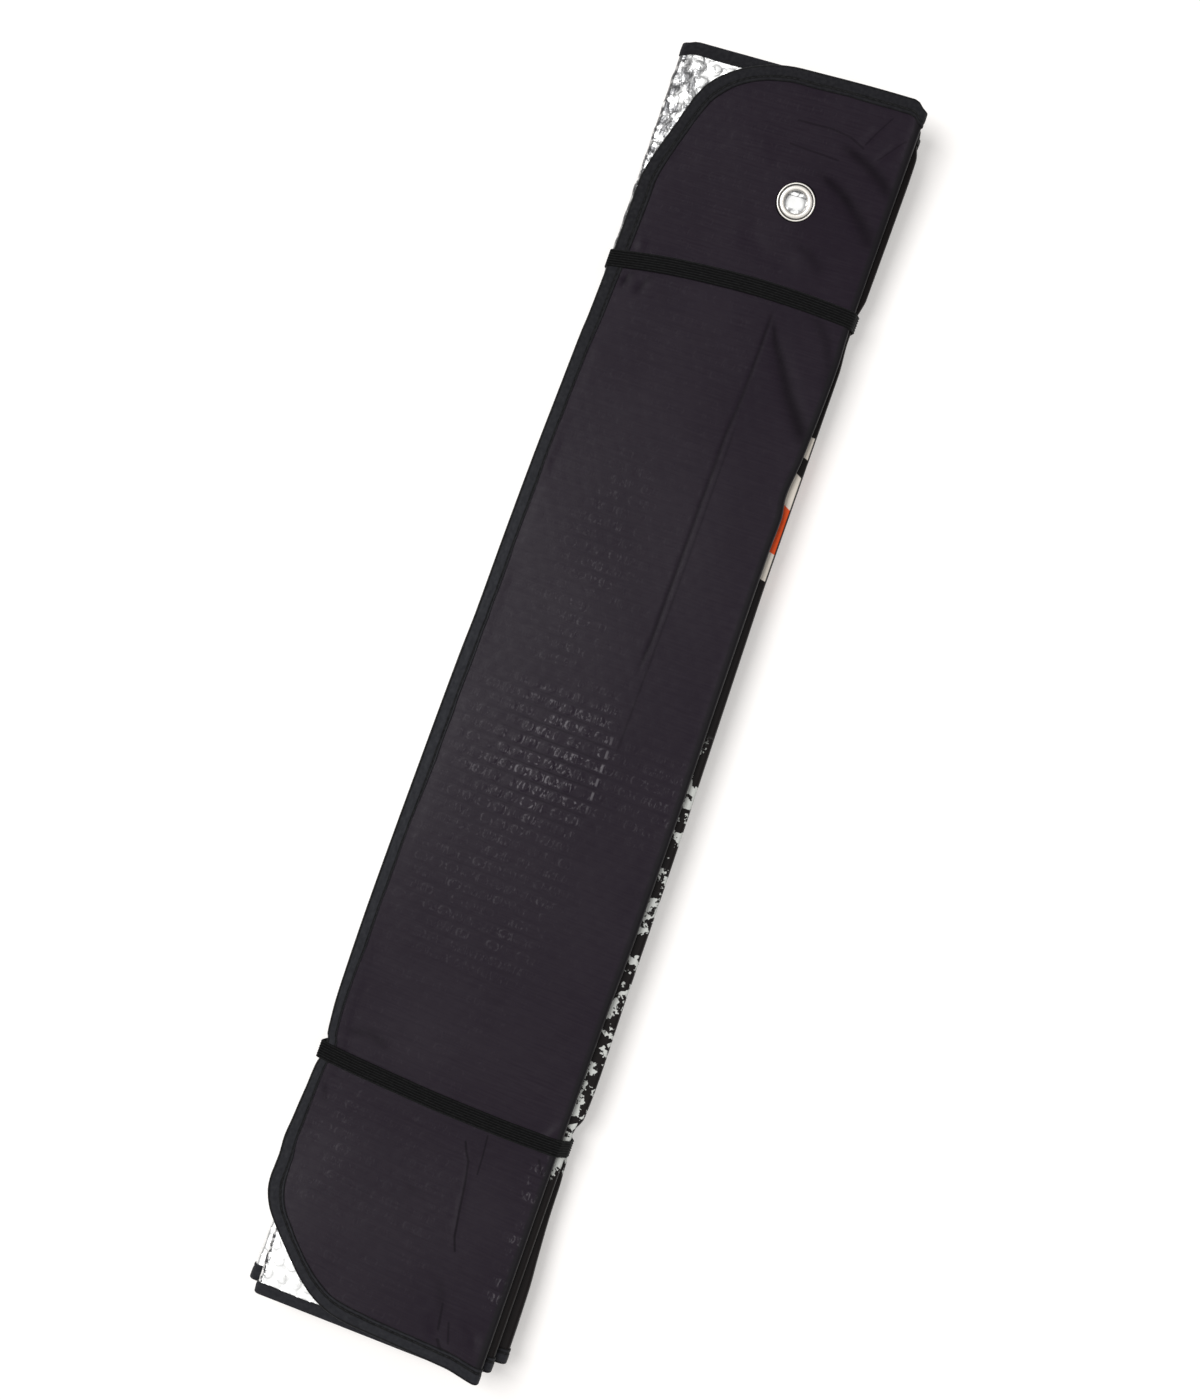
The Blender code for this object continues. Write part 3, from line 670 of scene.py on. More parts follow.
def cloth_relief(across, along, points):
    """The small relief of the first panel: bubbles showing through, waves and creases."""
    x, y = points[:, 0], points[:, 1]
    patch = np.exp(-(((x / MM + 18) / 34) ** 2) - ((y / MM + 32) / 42) ** 2)
    shown = 0.10 + 0.25 * smooth_step(0.0, 0.7, lattice_noise(x, y, 0.030, 0.045, 5)) + 0.9 * patch
    relief = BUBBLES_SHOW_THROUGH * domes(across, along, 11) * shown
    for height, *cells_and_seed in CLOTH_WAVES:
        relief += height * lattice_noise(x, y, *cells_and_seed)
    relief += MM * along_lines(x, y, CREASES_MM)
    for from_edge in (across, end_of_sheet(across) - np.abs(along)):
        relief = relief * smooth_step(TAPE_WIDTH - 0.001, TAPE_WIDTH + 0.004, from_edge)
    fold = 1 - smooth_step(PANEL_WIDTH - HALF_FOLD, PANEL_WIDTH, across)
    beside_eyelet = eyelet_distance(across, along, EYELETS_ACROSS[0])
    return relief * fold * smooth_step(0.009, 0.014, beside_eyelet)


# How far along the middle rows of the sheets' grids reach, short of the round corners, and
# where the foil's finer rows begin
ROWS_REACH = 0.283
FINE_ROWS_FROM = 0.240
# Finer columns of the cloth, beside the long crease
CREASE_COLUMNS = (0.0845, 0.0940, 0.0005)


def make_cloth(material):
    places = merged(
        merged(
            corner_places(24), wide_cells(0, PANEL_WIDTH - HALF_FOLD, 0.0016),
            fold_places(1, 12), np.arange(*CREASE_COLUMNS),
        ),
        *[fold_places(line, 12 if line % 2 else 4) for line in range(2, PANELS)],
        *[panel_places(panel, 0.04) for panel in range(1, PANELS)],
        SHEET_WIDTH - corner_places(14),
    )
    across, along, shape = sheet_grid(
        places, wide_cells(-ROWS_REACH, ROWS_REACH, 0.0018), np.linspace(0, 1, 40)[1:]
    )
    flat = folded(across, along, SHEET_HALF)
    points = folded(across, along, SHEET_HALF + cloth_relief(across, along, flat))
    # Painted shade of the creases and hollows, and the painted sheen patches, go to the cloth's material as fields
    dark = along_lines(flat[:, 0], flat[:, 1], SOFT_SHADE_MM) * (across < PANEL_WIDTH)
    mesh = grid_mesh(
        "cloth_sheet", points, np.stack([across, along], axis=1), *shape, keep=clear_of_eyelets,
        fields=(("soft_shade", dark), ("sheen_patches", sheen_patches(across, along))),
    )
    return new_piece("cloth_sheet", mesh, material, "coated_cloth", "face_cloth")


# How far the second panel's foil bulges up into the hole of the eyelet that lies on it
BULGE_IN_EYELET = 0.0011
# How high the foil's bubbles are, where the layers leave that much room, and which share of
# the room they take up at most
BUBBLE_HEIGHT = 0.0006
SHARE_OF_ROOM = 0.42
FINE_CELL = 0.0011


def make_foil(material):
    second = 2 * PANEL_WIDTH
    at_eyelet = second - EYELET_FROM_FREE_EDGE
    places = merged(
        corner_places(12), wide_cells(second - 0.066, second - HALF_FOLD, FINE_CELL),
        wide_cells(at_eyelet - 0.009, at_eyelet + 0.009, FINE_CELL),
        SHEET_WIDTH - corner_places(14),
        *[fold_places(line, 4 if line % 2 else 12) for line in range(1, PANELS)],
        *[panel_places(panel, 0.045) for panel in range(PANELS)],
    )
    middle = merged(
        wide_cells(-ROWS_REACH, -FINE_ROWS_FROM, FINE_CELL),
        wide_cells(-FINE_ROWS_FROM, FINE_ROWS_FROM, 0.0025),
        wide_cells(FINE_ROWS_FROM, ROWS_REACH, FINE_CELL),
    )
    across, along, shape = sheet_grid(places, middle, np.linspace(0, 1, 62)[1:])
    room = SHARE_OF_ROOM * (pitch(along) - 2 * SHEET_HALF)
    crumple = lattice_noise(across, along, 0.006, 0.004, 41) * 0.5 + 0.5
    from_side = np.minimum(across, SHEET_WIDTH - across)
    from_edge = np.minimum(end_of_sheet(across) - np.abs(along), from_side)
    clear = smooth_step(TAPE_WIDTH - 0.001, TAPE_WIDTH + 0.003, from_edge)
    raised = np.minimum(BUBBLE_HEIGHT, room) * (0.8 * domes(across, along, 31) + 0.2 * crumple)
    behind = eyelet_distance(across, along, at_eyelet)
    raised *= clear * smooth_step(0.009, 0.016, behind)
    raised *= 1 - 0.75 * smooth_step(0.20, 0.28, -along)
    raised += BULGE_IN_EYELET * (1 - smooth_step(0.0052, 0.0066, behind))
    points = folded(across, along, -SHEET_HALF - raised)
    uvs = np.stack([across, along], axis=1)
    mesh = grid_mesh("foil_sheet", points, uvs, *shape, keep=clear_of_eyelets)
    mesh.flip_normals()
    return new_piece("foil_sheet", mesh, material, "silver_bubble_foil", "bubble_foil")


class Edge:
    """The flat sheet's edge as a closed path, with the way inwards at each place."""

    def __init__(self, corner_steps, fold_steps, cell):
        across = merged(
            corner_places(corner_steps), SHEET_WIDTH - corner_places(corner_steps),
            *[fold_places(line, fold_steps) for line in range(1, PANELS)],
            *[panel_places(panel, cell) for panel in range(PANELS)],
        )
        across = np.clip(across, 0, SHEET_WIDTH)
        side = wide_cells(-CORNER_START, CORNER_START, cell)[1:-1]
        end = end_of_sheet(across)
        self.across = np.concatenate([
            across, np.full(len(side), SHEET_WIDTH), across[::-1], np.zeros(len(side)),
        ])
        self.along = np.concatenate([-end, side, end[::-1], side[::-1]])
        from_side = np.minimum(self.across, SHEET_WIDTH - self.across)
        round_part = from_side < CORNER_RADIUS
        centre_across = np.clip(self.across, CORNER_RADIUS, SHEET_WIDTH - CORNER_RADIUS)
        centre_along = np.where(
            round_part, np.clip(self.along, -CORNER_START, CORNER_START),
            np.sign(self.along) * CORNER_START,
        )
        inwards = np.stack([centre_across - self.across, centre_along - self.along], axis=1)
        self.inwards = inwards / np.linalg.norm(inwards, axis=1)[:, None]
        steps = np.hypot(
            np.diff(self.across, append=self.across[:1]), np.diff(self.along, append=self.along[:1])
        )
        self.run = np.concatenate([[0.0], np.cumsum(steps)])
        self.length = self.run[-1]

    def at(self, run):
        """Places, and the way inwards, at distances along the edge."""
        run = np.mod(run, self.length)
        parts = (self.across, self.along, *self.inwards.T)
        return [np.interp(run, self.run, np.append(part, part[0])) for part in parts]


# The tape's outer face from its rim to the sheet's edge: how far in from the edge, and how far
# over its nominal face
TAPE_FACE = (
    (TAPE_WIDTH, -0.00012), (TAPE_WIDTH - 0.0003, 0.0), (TAPE_WIDTH - 0.0013, 0.00002),
    (TAPE_WIDTH - 0.0021, -0.00022), (TAPE_WIDTH - 0.0029, 0.00005),
    (TAPE_WIDTH - 0.0045, 0.00010), (0.0012, 0.00004),
)
TAPE_SKIN = 0.00030
TAPE_TURN = 0.0004
TURN_STEPS = 6


def there_and_back(side):
    """One side's outline from the rim to the edge, and back on the other side."""
    return side + [(inwards, -out) for inwards, out in reversed(side[:-1])]


def tape_section():
    """The tape's section as (inwards, out), a closed loop round its outside and its inside."""
    outer = [(inwards, TAPE_HALF + over) for inwards, over in TAPE_FACE]
    for step in range(1, TURN_STEPS):
        turn = math.pi / 2 * step / TURN_STEPS
        outer.append((
            TAPE_TURN - (TAPE_TURN + TAPE_STANDS_OUT) * math.sin(turn),
            outer[len(TAPE_FACE) - 1][1] * math.cos(turn) ** 0.8,
        ))
    outer.append((-TAPE_STANDS_OUT, 0.0))
    inside = TAPE_HALF - TAPE_SKIN
    inner = [
        (TAPE_WIDTH - 0.0001, inside), (0.0008, inside), (-TAPE_STANDS_OUT + TAPE_SKIN, 0.0),
    ]
    return there_and_back(outer) + there_and_back(inner)[::-1]


# How much narrower the tape shows along the first panel's free edge, as (y, less) in mm
TAPE_LESS_MM = (
    (-318, 0), (-285, 0.7), (-254, 2.2), (-229, 3.3), (-198, 3.5), (-151, 2.3), (-99, 2.2),
    (-48, 1.1), (4, 1.2), (56, 1.5), (107, 1.7), (159, 1.8), (200, 0.8), (242, 0.3), (270, 0),
)


# The same on the second panel's ends, far and near, and where across the sheet they start, are
# full, and stop
END_TAPE_LESS = (0.0014, 0.0022)
SECOND_STARTS = (0.150, 0.180)
SECOND_STOPS = (0.275, 0.285)
FREE_EDGE_PART = 0.03
MOST_FROM_RIM = 0.8


def narrowed(across, along, inwards):
    """How far in from the edge a place of the tape comes, where the tape shows narrower."""
    stations = [(y * MM, less * MM) for y, less in TAPE_LESS_MM]
    least, most = stations[0][0], stations[-1][0]
    less = through(stations, np.clip(line_y(0, along), least, most)) * (across < FREE_EDGE_PART)
    on_second = smooth_step(*SECOND_STARTS, across) * (1 - smooth_step(*SECOND_STOPS, across))
    less = less + np.where(along > 0, *END_TAPE_LESS) * on_second
    seam_to_rim = TAPE_WIDTH - STITCH_LINE
    from_rim = np.minimum(less, MOST_FROM_RIM * seam_to_rim)
    past_seam = np.clip((inwards - STITCH_LINE) / seam_to_rim, 0, 1)
    before_seam = np.clip(inwards / STITCH_LINE, 0, 1)
    return inwards - from_rim * past_seam - (less - from_rim) * before_seam


def make_binding(material, edge):
    section = np.array(tape_section())
    run, inwards, out = np.broadcast_arrays(
        edge.run[:-1, None], section[None, :, 0], section[None, :, 1]
    )
    pucker = lattice_noise(run, np.sign(out) + 2, 0.009, 1.0, 51)
    lumps = lattice_noise(run, inwards, 0.006, 0.004, 52)
    shown_in = narrowed(edge.across[:, None], edge.along[:, None], inwards)
    shown_in = shown_in + 0.00022 * pucker * smooth_step(0.003, TAPE_WIDTH, inwards)
    out = out + np.sign(out) * 0.00006 * lumps
    across = edge.across[:, None] + edge.inwards[:, :1] * shown_in
    along = edge.along[:, None] + edge.inwards[:, 1:] * shown_in
    points = folded(across, along, out)
    uvs = np.stack([run, inwards + np.where(out < 0, 0.02, 0)], axis=-1).reshape(-1, 2)
    mesh = grid_mesh("binding_tape", points, uvs, *run.shape, closed=(True, True))
    return new_piece("binding_tape", mesh, material, "binding_tape", "edge_binding")


STITCH_PITCH = 0.0034
STITCH_LENGTH = 0.0026
STITCH_RADIUS = 0.00016
STITCH_LINE = TAPE_WIDTH - 0.0022
STITCH_SINKS = 0.00010
STITCH_SIDES = 5
# The rings of a stitch: part of its length, part of its radius, and height in metres
STITCH_RINGS = ((-0.5, 0.35, -0.00022), (-0.3, 1.0, 0.0), (0.3, 1.0, 0.0), (0.5, 0.35, -0.00022))


def make_stitches(material, edge):
    """The seam through the tape, one short thread for each stitch on both of its faces."""
    count = int(edge.length / STITCH_PITCH)
    starts = np.arange(count) * edge.length / count
    turns = np.arange(STITCH_SIDES) * 2 * math.pi / STITCH_SIDES
    part, thickness, lift = (np.array(column)[:, None] for column in zip(*STITCH_RINGS))
    run = np.repeat(starts[:, None, None] + part * STITCH_LENGTH, STITCH_SIDES, axis=2)
    aside = np.broadcast_to(thickness * STITCH_RADIUS * np.cos(turns), run.shape).ravel()
    up = np.broadcast_to(thickness * STITCH_RADIUS * np.sin(turns) + lift, run.shape).ravel()
    across, along, in_x, in_y = edge.at(run.ravel())
    inwards = narrowed(across, along, STITCH_LINE + aside)
    across, along = across + in_x * inwards, along + in_y * inwards
    points, faces = [], []
    for side in (1, -1):
        number = len(points) * run.size + np.arange(run.size).reshape(run.shape)
        points.append(folded(across, along, side * (TAPE_HALF - STITCH_SINKS + up)))
        after = np.roll(number, -1, axis=2)
        quads = np.stack([number[:, :-1], after[:, :-1], after[:, 1:], number[:, 1:]], axis=-1)
        for group in (quads.reshape(-1, 4), number[:, 0, ::-1], number[:, -1]):
            faces += group[:, ::side].tolist()
    mesh = bpy.data.meshes.new("binding_stitches")
    mesh.from_pydata(np.concatenate(points).tolist(), [], faces)
    loops = np.zeros(len(mesh.loops), int)
    mesh.loops.foreach_get("vertex_index", loops)
    uvs = np.tile(np.stack([run.ravel(), inwards], axis=1), (2, 1))
    mesh.uv_layers.new(name="flat").data.foreach_set("uv", uvs[loops].ravel())
    mesh.shade_smooth()
    return new_piece("binding_stitches", mesh, material, "binding_tape")


# Elastic straps: where they lie along the bundle, the x of their crest, how far that is shifted
# along, and how far the left side lags it
STRAPS = {
    "elastic_strap_upper": (STRAP_FROM_MIDDLE, 0.037, 0.0098, -0.0111),
    "elastic_strap_lower": (-STRAP_FROM_MIDDLE, 0.066, 0.001, 0.0076),
}
PRESSED_LENGTH = 0.682
STRAP_RIBS = 7
STRAP_GAP = 0.00012
RIB_STEPS = 6
RIB_DEPTH = 0.00036
STRAP_TURN = math.radians(12)
STRAP_CELL = 0.0015


def wrapped(points):
    """The convex outline round some points in a plane, anticlockwise."""
    def half(ordered):
        chain = []
        for p in ordered:
            while len(chain) > 1 and (
                (chain[-1][0] - chain[-2][0]) * (p[1] - chain[-2][1])
                - (chain[-1][1] - chain[-2][1]) * (p[0] - chain[-2][0])
            ) <= 0:
                chain.pop()
            chain.append(p)
        return chain[:-1]
    ordered = sorted(set(points))
    return half(ordered) + half(list(reversed(ordered)))


def strap_outline(passes):
    """The stack's outline at the strap's places along, as (x, z, facing), with round corners."""
    places = merged(
        *[fold_places(line, 8) for line in range(1, PANELS)], wide_cells(0, SHEET_WIDTH, 0.01)
    )
    edge_places = np.array([-TAPE_STANDS_OUT, 0, TAPE_WIDTH])
    edge_places = np.concatenate([edge_places, SHEET_WIDTH - edge_places])
    found = []
    for place in passes:
        place = place * SHEET_LENGTH / PRESSED_LENGTH
        for across, half in ((places, SHEET_HALF), (edge_places, TAPE_HALF)):
            found += [folded(across, place, out) for out in (half, -half)]
    found = np.concatenate(found)[:, [0, 2]]
    corners = wrapped([tuple(point) for point in np.round(found, 5).tolist()])
    path = []
    for index, corner in enumerate(corners):
        after = corners[(index + 1) % len(corners)]
        before = corners[index - 1]
        turn_in = math.atan2(before[0] - corner[0], corner[1] - before[1])
        turn_out = math.atan2(corner[0] - after[0], after[1] - corner[1])
        while turn_out < turn_in:
            turn_out += 2 * math.pi
        steps = max(1, math.ceil((turn_out - turn_in) / STRAP_TURN))
        for step in range(steps + 1):
            path.append((*corner, turn_in + (turn_out - turn_in) * step / steps))
        runs = max(1, round(math.dist(corner, after) / STRAP_CELL))
        for share in (step / runs for step in range(1, runs)):
            between = [low + (high - low) * share for low, high in zip(corner, after)]
            path.append((*between, turn_out))
    return np.array(path)


def make_strap(name, material):
    middle, crest_x, shift, bow = STRAPS[name]
    left_x = -PANEL_WIDTH / 2
    path = strap_outline([
        middle + shift + bow * lag + side * STRAP_WIDTH / 2 for lag in (0, 1) for side in (-1, 0, 1)
    ])
    width = np.linspace(-1, 1, STRAP_RIBS * RIB_STEPS + 1)
    ribs = 0.5 - 0.5 * np.cos(width * math.pi * STRAP_RIBS + math.pi * (STRAP_RIBS % 2))
    edge_round = np.sqrt(np.clip(1 - np.clip((np.abs(width) - 0.9) / 0.1, 0, 1) ** 2, 0, 1))
    outer = (STRAP_THICK - RIB_DEPTH + RIB_DEPTH * ribs**0.6) * (0.35 + 0.65 * edge_round)
    under_width = np.array([0.97, 0.5, 0.0, -0.5, -0.97])
    sideways = np.concatenate([width, under_width]) * STRAP_WIDTH / 2
    out = STRAP_GAP + np.concatenate([outer, np.zeros(len(under_width))])
    run = np.concatenate([[0], np.cumsum(np.hypot(*np.diff(path[:, :2], axis=0).T))])
    x, z, facing = (column[:, None] for column in path.T)
    band_x = x + out * np.cos(facing)
    band_z = z + out * np.sin(facing)
    runs, sideways = np.broadcast_arrays(run[:, None], sideways)
    middle_y = middle + shift + bow * ((band_x - crest_x) / (left_x - crest_x)) ** 2
    wander = 0.00012 * lattice_noise(runs, np.zeros(runs.shape), 0.012, 1.0, 61)
    points = np.stack([band_x, middle_y + sideways + wander, band_z], axis=-1).reshape(-1, 3)
    uvs = np.stack([runs, sideways], axis=-1).reshape(-1, 2)
    mesh = grid_mesh(name + "_band", points, uvs, *runs.shape, closed=(True, True))
    mesh.flip_normals()
    return new_piece(mesh.name, mesh, material, "elastic_band", name)


# Sections of the eyelet and its washer, as (radius, height over the sheet's face) in mm
FLANGE_MM = (
    (9.55, 0.05), (9.82, 0.14), (9.95, 0.40), (9.86, 0.66), (9.62, 0.80), (9.34, 0.80),
    (9.12, 0.66), (8.95, 0.42), (8.72, 0.40), (8.52, 0.62), (8.25, 0.88), (7.80, 1.06),
    (7.25, 1.12), (6.75, 1.06), (6.40, 0.92), (6.22, 0.72), (6.08, 0.70), (5.96, 0.62),
    (5.86, 0.40), (5.85, 0.10),
)
FLANGE_GROOVE_RADIUS = 0.00885
BORE_GROOVE_RADIUS = 0.00616
BORE_RUN = sum(math.dist(a, b) for a, b in zip(FLANGE_MM, FLANGE_MM[1:])) * MM
BARREL_WALL = 0.0005
WASHER_RADIUS = 0.0095
WASHER_THICK = 0.0003
LIP_WIDTH = 0.0009
LIP_THICK = 0.0003
FACE_GAP = 0.0002
WASHER_GAP = 0.0003


def eyelet_section():
    """The ring's closed section: its flange, its barrel and the lip rolled over the washer."""
    face = SHEET_HALF + FACE_GAP
    steps = np.linspace(0, len(FLANGE_MM) - 1, 4 * len(FLANGE_MM))
    numbers = np.arange(len(FLANGE_MM))
    radius, height = (
        through(list(zip(numbers, column)), steps) * MM for column in zip(*FLANGE_MM)
    )
    foot = -(SHEET_HALF + LIP_WIDTH)
    barrel = EYELET_HOLE_RADIUS + BARREL_WALL
    lip = barrel + LIP_WIDTH
    return list(zip(radius, height + face)) + [
        (EYELET_HOLE_RADIUS, foot), (EYELET_HOLE_RADIUS + 0.0002, foot - LIP_THICK),
        (lip - 0.0002, foot - LIP_THICK), (lip, foot - 0.0001),
        (lip, foot), (barrel, foot), (barrel, face), (0.0094, face),
    ]


def washer_section():
    top = -(SHEET_HALF + WASHER_GAP)
    bore = EYELET_HOLE_RADIUS + BARREL_WALL + WASHER_GAP
    foot = top - WASHER_THICK
    return [(WASHER_RADIUS, top), (WASHER_RADIUS, foot), (bore, foot), (bore, top)]


def eyelet_place(across):
    """How an eyelet lies in the bundle, resting on the sheet at both of its ends."""
    reach = EYELET_OUTER_RADIUS
    low, high, middle, above = (
        Vector(folded(across, EYELET_ALONG + step, out)[0])
        for step, out in ((-reach, 0.0), (reach, 0.0), (0.0, 0.0), (0.0, reach))
    )
    forward = (high - low).normalized()
    out = above - middle
    side = forward.cross(out.normalized()).normalized()
    out = side.cross(forward).normalized()
    turned = Matrix((side, forward, out)).transposed().to_4x4()
    return Matrix.Translation((low + high) / 2) @ turned


def turned_mesh(name, section, place, steps):
    """A section turned round its axis, with its radius and its run as its flat places."""
    radius, height = (np.array(column) for column in zip(*section))
    turn = np.linspace(0, 2 * math.pi, steps, endpoint=False)[:, None]
    x, y = radius[None, :] * np.cos(turn), radius[None, :] * np.sin(turn)
    local = np.stack([x.ravel(), y.ravel(), np.tile(height, steps), np.ones(x.size)], axis=1)
    points = (local @ np.array(place).T)[:, :3]
    run = np.concatenate([[0], np.cumsum(np.hypot(np.diff(radius), np.diff(height)))])
    uvs = np.stack([np.tile(radius, steps), np.tile(run, steps)], axis=1)
    mesh = grid_mesh(name, points, uvs, steps, len(section), closed=(True, True))
    mesh.flip_normals()
    mesh.set_sharp_from_angle(angle=math.radians(50))
    return mesh


def make_eyelets(material):
    made = []
    for side, across in zip(("upper", "lower"), EYELETS_ACROSS):
        place = eyelet_place(across)
        ring = turned_mesh(f"{side}_eyelet_ring", eyelet_section(), place, 96)
        made.append(new_piece(ring.name, ring, material, "nickel", f"eyelet_{side}"))
        washer = turned_mesh(f"{side}_eyelet_back", washer_section(), place, 64)
        made.append(new_piece(washer.name, washer, material, "nickel", f"eyelet_washer_{side}"))
    return made


# Where a long crease ends the painted sheen patches of the first panel
CREASE_ACROSS = 0.0854
# Painted sheen patches of the first panel, where its painted highlights and the bubbles below show: (across, along,
# half width, half length) in mm, and how much
SHEEN_PATCHES_MM = (
    (66, -34, 42, 50, 1.15), (40, -40, 42, 60, 0.40), (48, 60, 26, 90, 0.22),
    (116, -36, 24, 36, 0.75), (55, -110, 60, 70, 0.20), (124, -246, 7, 20, 2.0),
    (124, -276, 6, 13, 1.3), (124, -305, 6, 15, 1.6), (20, -265, 16, 50, 0.12),
    (60, -270, 80, 70, 0.03),
)
SHEEN_EVERYWHERE = 0.05
LESS_PAST_CREASE = 0.62


def sheen_patches(across, along):
    """How strongly the first panel's painted sheen shows, and the bubbles below with it: from 0 to about 1."""
    total = np.full(len(across), SHEEN_EVERYWHERE)
    for middle_x, middle_y, half_width, half_length, share in SHEEN_PATCHES_MM:
        distance = np.hypot(
            (across / MM - middle_x) / half_width, (along / MM - middle_y) / half_length
        )
        total += share * (1 - smooth_step(0.25, 1.0, distance))
    past_crease = smooth_step(CREASE_ACROSS + 0.0004, CREASE_ACROSS + 0.0014, across)
    return total * (1 - LESS_PAST_CREASE * past_crease) * (across < PANEL_WIDTH)


class Value:
    """A number in a node tree. Arithmetic with it adds math nodes."""

    def __init__(self, nodes, socket):
        self.nodes, self.socket = nodes, socket

    def __add__(self, other):
        return self.nodes.math("ADD", self, other)

    def __sub__(self, other):
        return self.nodes.math("SUBTRACT", self, other)

    def __rsub__(self, other):
        return self.nodes.math("SUBTRACT", other, self)

    def __mul__(self, other):
        return self.nodes.math("MULTIPLY", self, other)

    def __truediv__(self, other):
        return self.nodes.math("DIVIDE", self, other)

    def __abs__(self):
        return self.nodes.math("ABSOLUTE", self)

    def __round__(self):
        return self.nodes.math("ROUND", self)


class Nodes:
    """A node tree, with short ways to add and join its nodes."""

    def __init__(self, owner):
        owner.use_nodes = True
        self.tree = owner.node_tree

    def put(self, socket, value):
        if isinstance(value, Value):
            value = value.socket
        if isinstance(value, bpy.types.NodeSocket):
            self.tree.links.new(value, socket)
        else:
            socket.default_value = value

    def add(self, kind, inputs=None, **settings):
        node = self.tree.nodes.new(kind)
        for key, value in settings.items():
            setattr(node, key, value)
        for key, value in (inputs or {}).items():
            self.put(node.inputs[key], value)
        return node

    def math(self, operation, first, second=0.0, clamp=False):
        sockets = {0: first, 1: second}
        node = self.add("ShaderNodeMath", sockets, operation=operation, use_clamp=clamp)
        return Value(self, node.outputs[0])

    def vector_math(self, operation, inputs, output="Vector"):
        node = self.add("ShaderNodeVectorMath", inputs, operation=operation)
        return Value(self, node.outputs[output])

    def most(self, first, *others):
        for other in others:
            first = self.math("MAXIMUM", first, other)
        return first

    def split(self, vector):
        node = self.add("ShaderNodeSeparateXYZ", {0: vector})
        return [Value(self, part) for part in node.outputs]

    def ramp(self, value, low, high, low_value=0.0, high_value=1.0):
        node = self.add("ShaderNodeMapRange", {
            "Value": value, "From Min": low, "From Max": high,
            "To Min": low_value, "To Max": high_value,
        }, interpolation_type="SMOOTHSTEP")
        return Value(self, node.outputs[0])

    def beside(self, value, place, *stops):
        """The ramp by how far a value is from a place, either way."""
        return self.ramp(abs(value - place), *stops)

    def between(self, value, low, full_from, full_to, high):
        """1 over a range and 0 outside it, with a soft change at each end."""
        return self.ramp(value, low, full_from) * self.ramp(value, high, full_to)


class Shader(Nodes):
    """A piece's material, laid out by its mesh's flat places."""

    def __init__(self, name, **values):
        self.material = bpy.data.materials.new(name)
        super().__init__(self.material)
        self.surface = self.tree.nodes["Principled BSDF"]
        self.flat = self.add("ShaderNodeUVMap", uv_map="flat").outputs[0]
        self.set(**values)

    def set(self, **values):
        for key, value in values.items():
            self.put(self.surface.inputs[key.replace("_", " ")], value)

    def mix(self, share, first, second):
        node = self.add("ShaderNodeMix", {0: share, 6: first, 7: second}, data_type="RGBA")
        return node.outputs[2]

    def attribute(self, name):
        node = self.add("ShaderNodeAttribute", attribute_name=name)
        return Value(self, node.outputs["Fac"])

    def noise(self, scale_x, scale_y, detail=3.0, roughness=0.5, offset=(0.0, 0.0, 0.0)):
        """Noise over the flat sheet, with its own number of cells a metre each way."""
        mapped = self.add("ShaderNodeMapping", {
            "Vector": self.flat, "Scale": (scale_x, scale_y, 1.0), "Location": offset,
        })
        node = self.add("ShaderNodeTexNoise", {
            "Vector": mapped.outputs[0], "Scale": 1.0, "Detail": detail, "Roughness": roughness,
        })
        return Value(self, node.outputs["Fac"])

    def noisy_roughness(self, scale_x, scale_y, least, most, offset=(0.0, 0.0, 0.0)):
        return self.ramp(self.noise(scale_x, scale_y, 2.0, offset=offset), 0.3, 0.7, least, most)

    def wander(self, scale_x, scale_y, size, offset=(0.0, 0.0, 0.0)):
        """A shift either way that changes slowly over the sheet."""
        return (self.noise(scale_x, scale_y, 2.0, offset=offset) - 0.5) * size

    def mottled(self, scale_x, scale_y, low, high, first, second):
        """Two colours, one changing into the other where noise is between low and high."""
        return self.mix(self.ramp(self.noise(scale_x, scale_y), low, high), first, second)

    def waves(self, pitch_size, direction, distortion=0.0):
        """Bands of the given pitch, across or along the flat sheet."""
        node = self.add("ShaderNodeTexWave", {
            "Vector": self.flat, "Scale": math.pi / 10 / pitch_size,
            "Distortion": distortion, "Detail": 1.0,
        }, wave_type="BANDS", bands_direction=direction)
        return Value(self, node.outputs["Fac"])

    def woven(self, pitch_x, pitch_y, depth):
        return self.bump(self.waves(pitch_x, "X") * self.waves(pitch_y, "Y"), depth, 0.6)

    def bump(self, height, distance, strength=1.0, normal=None):
        inputs = {"Height": height, "Distance": distance, "Strength": strength}
        if normal is not None:
            inputs["Normal"] = normal
        return self.add("ShaderNodeBump", inputs).outputs[0]


def from_nearest(value, pitch_size):
    """How far a value is from the nearest multiple of a pitch."""
    return abs(value - round(value / pitch_size) * pitch_size)


def bubble_rims(shader, across, along):
    """Bubbles of a sheet: its domes, their rims, the part of a row, and a value for each."""
    v = along / BUBBLE_ALONG
    row = round(v)
    u = across / BUBBLE_ACROSS - shader.math("PINGPONG", row, 1.0) * 0.5
    number = round(u)
    dx = (u - number) * (BUBBLE_ACROSS / BUBBLE_RADIUS)
    dy = (v - row) * (BUBBLE_ALONG / BUBBLE_RADIUS)
    distance = shader.math("SQRT", dx * dx + dy * dy)
    which = shader.add("ShaderNodeCombineXYZ", {0: row, 1: number}).outputs[0]
    value = shader.add("ShaderNodeTexWhiteNoise", {"Vector": which}, noise_dimensions="2D")
    dome = shader.ramp(distance, 1.0, 0.62)
    rim = shader.between(distance, 0.66, 0.85, 0.95, 1.12)
    return dome, rim, abs(v - row), Value(shader, value.outputs["Value"])
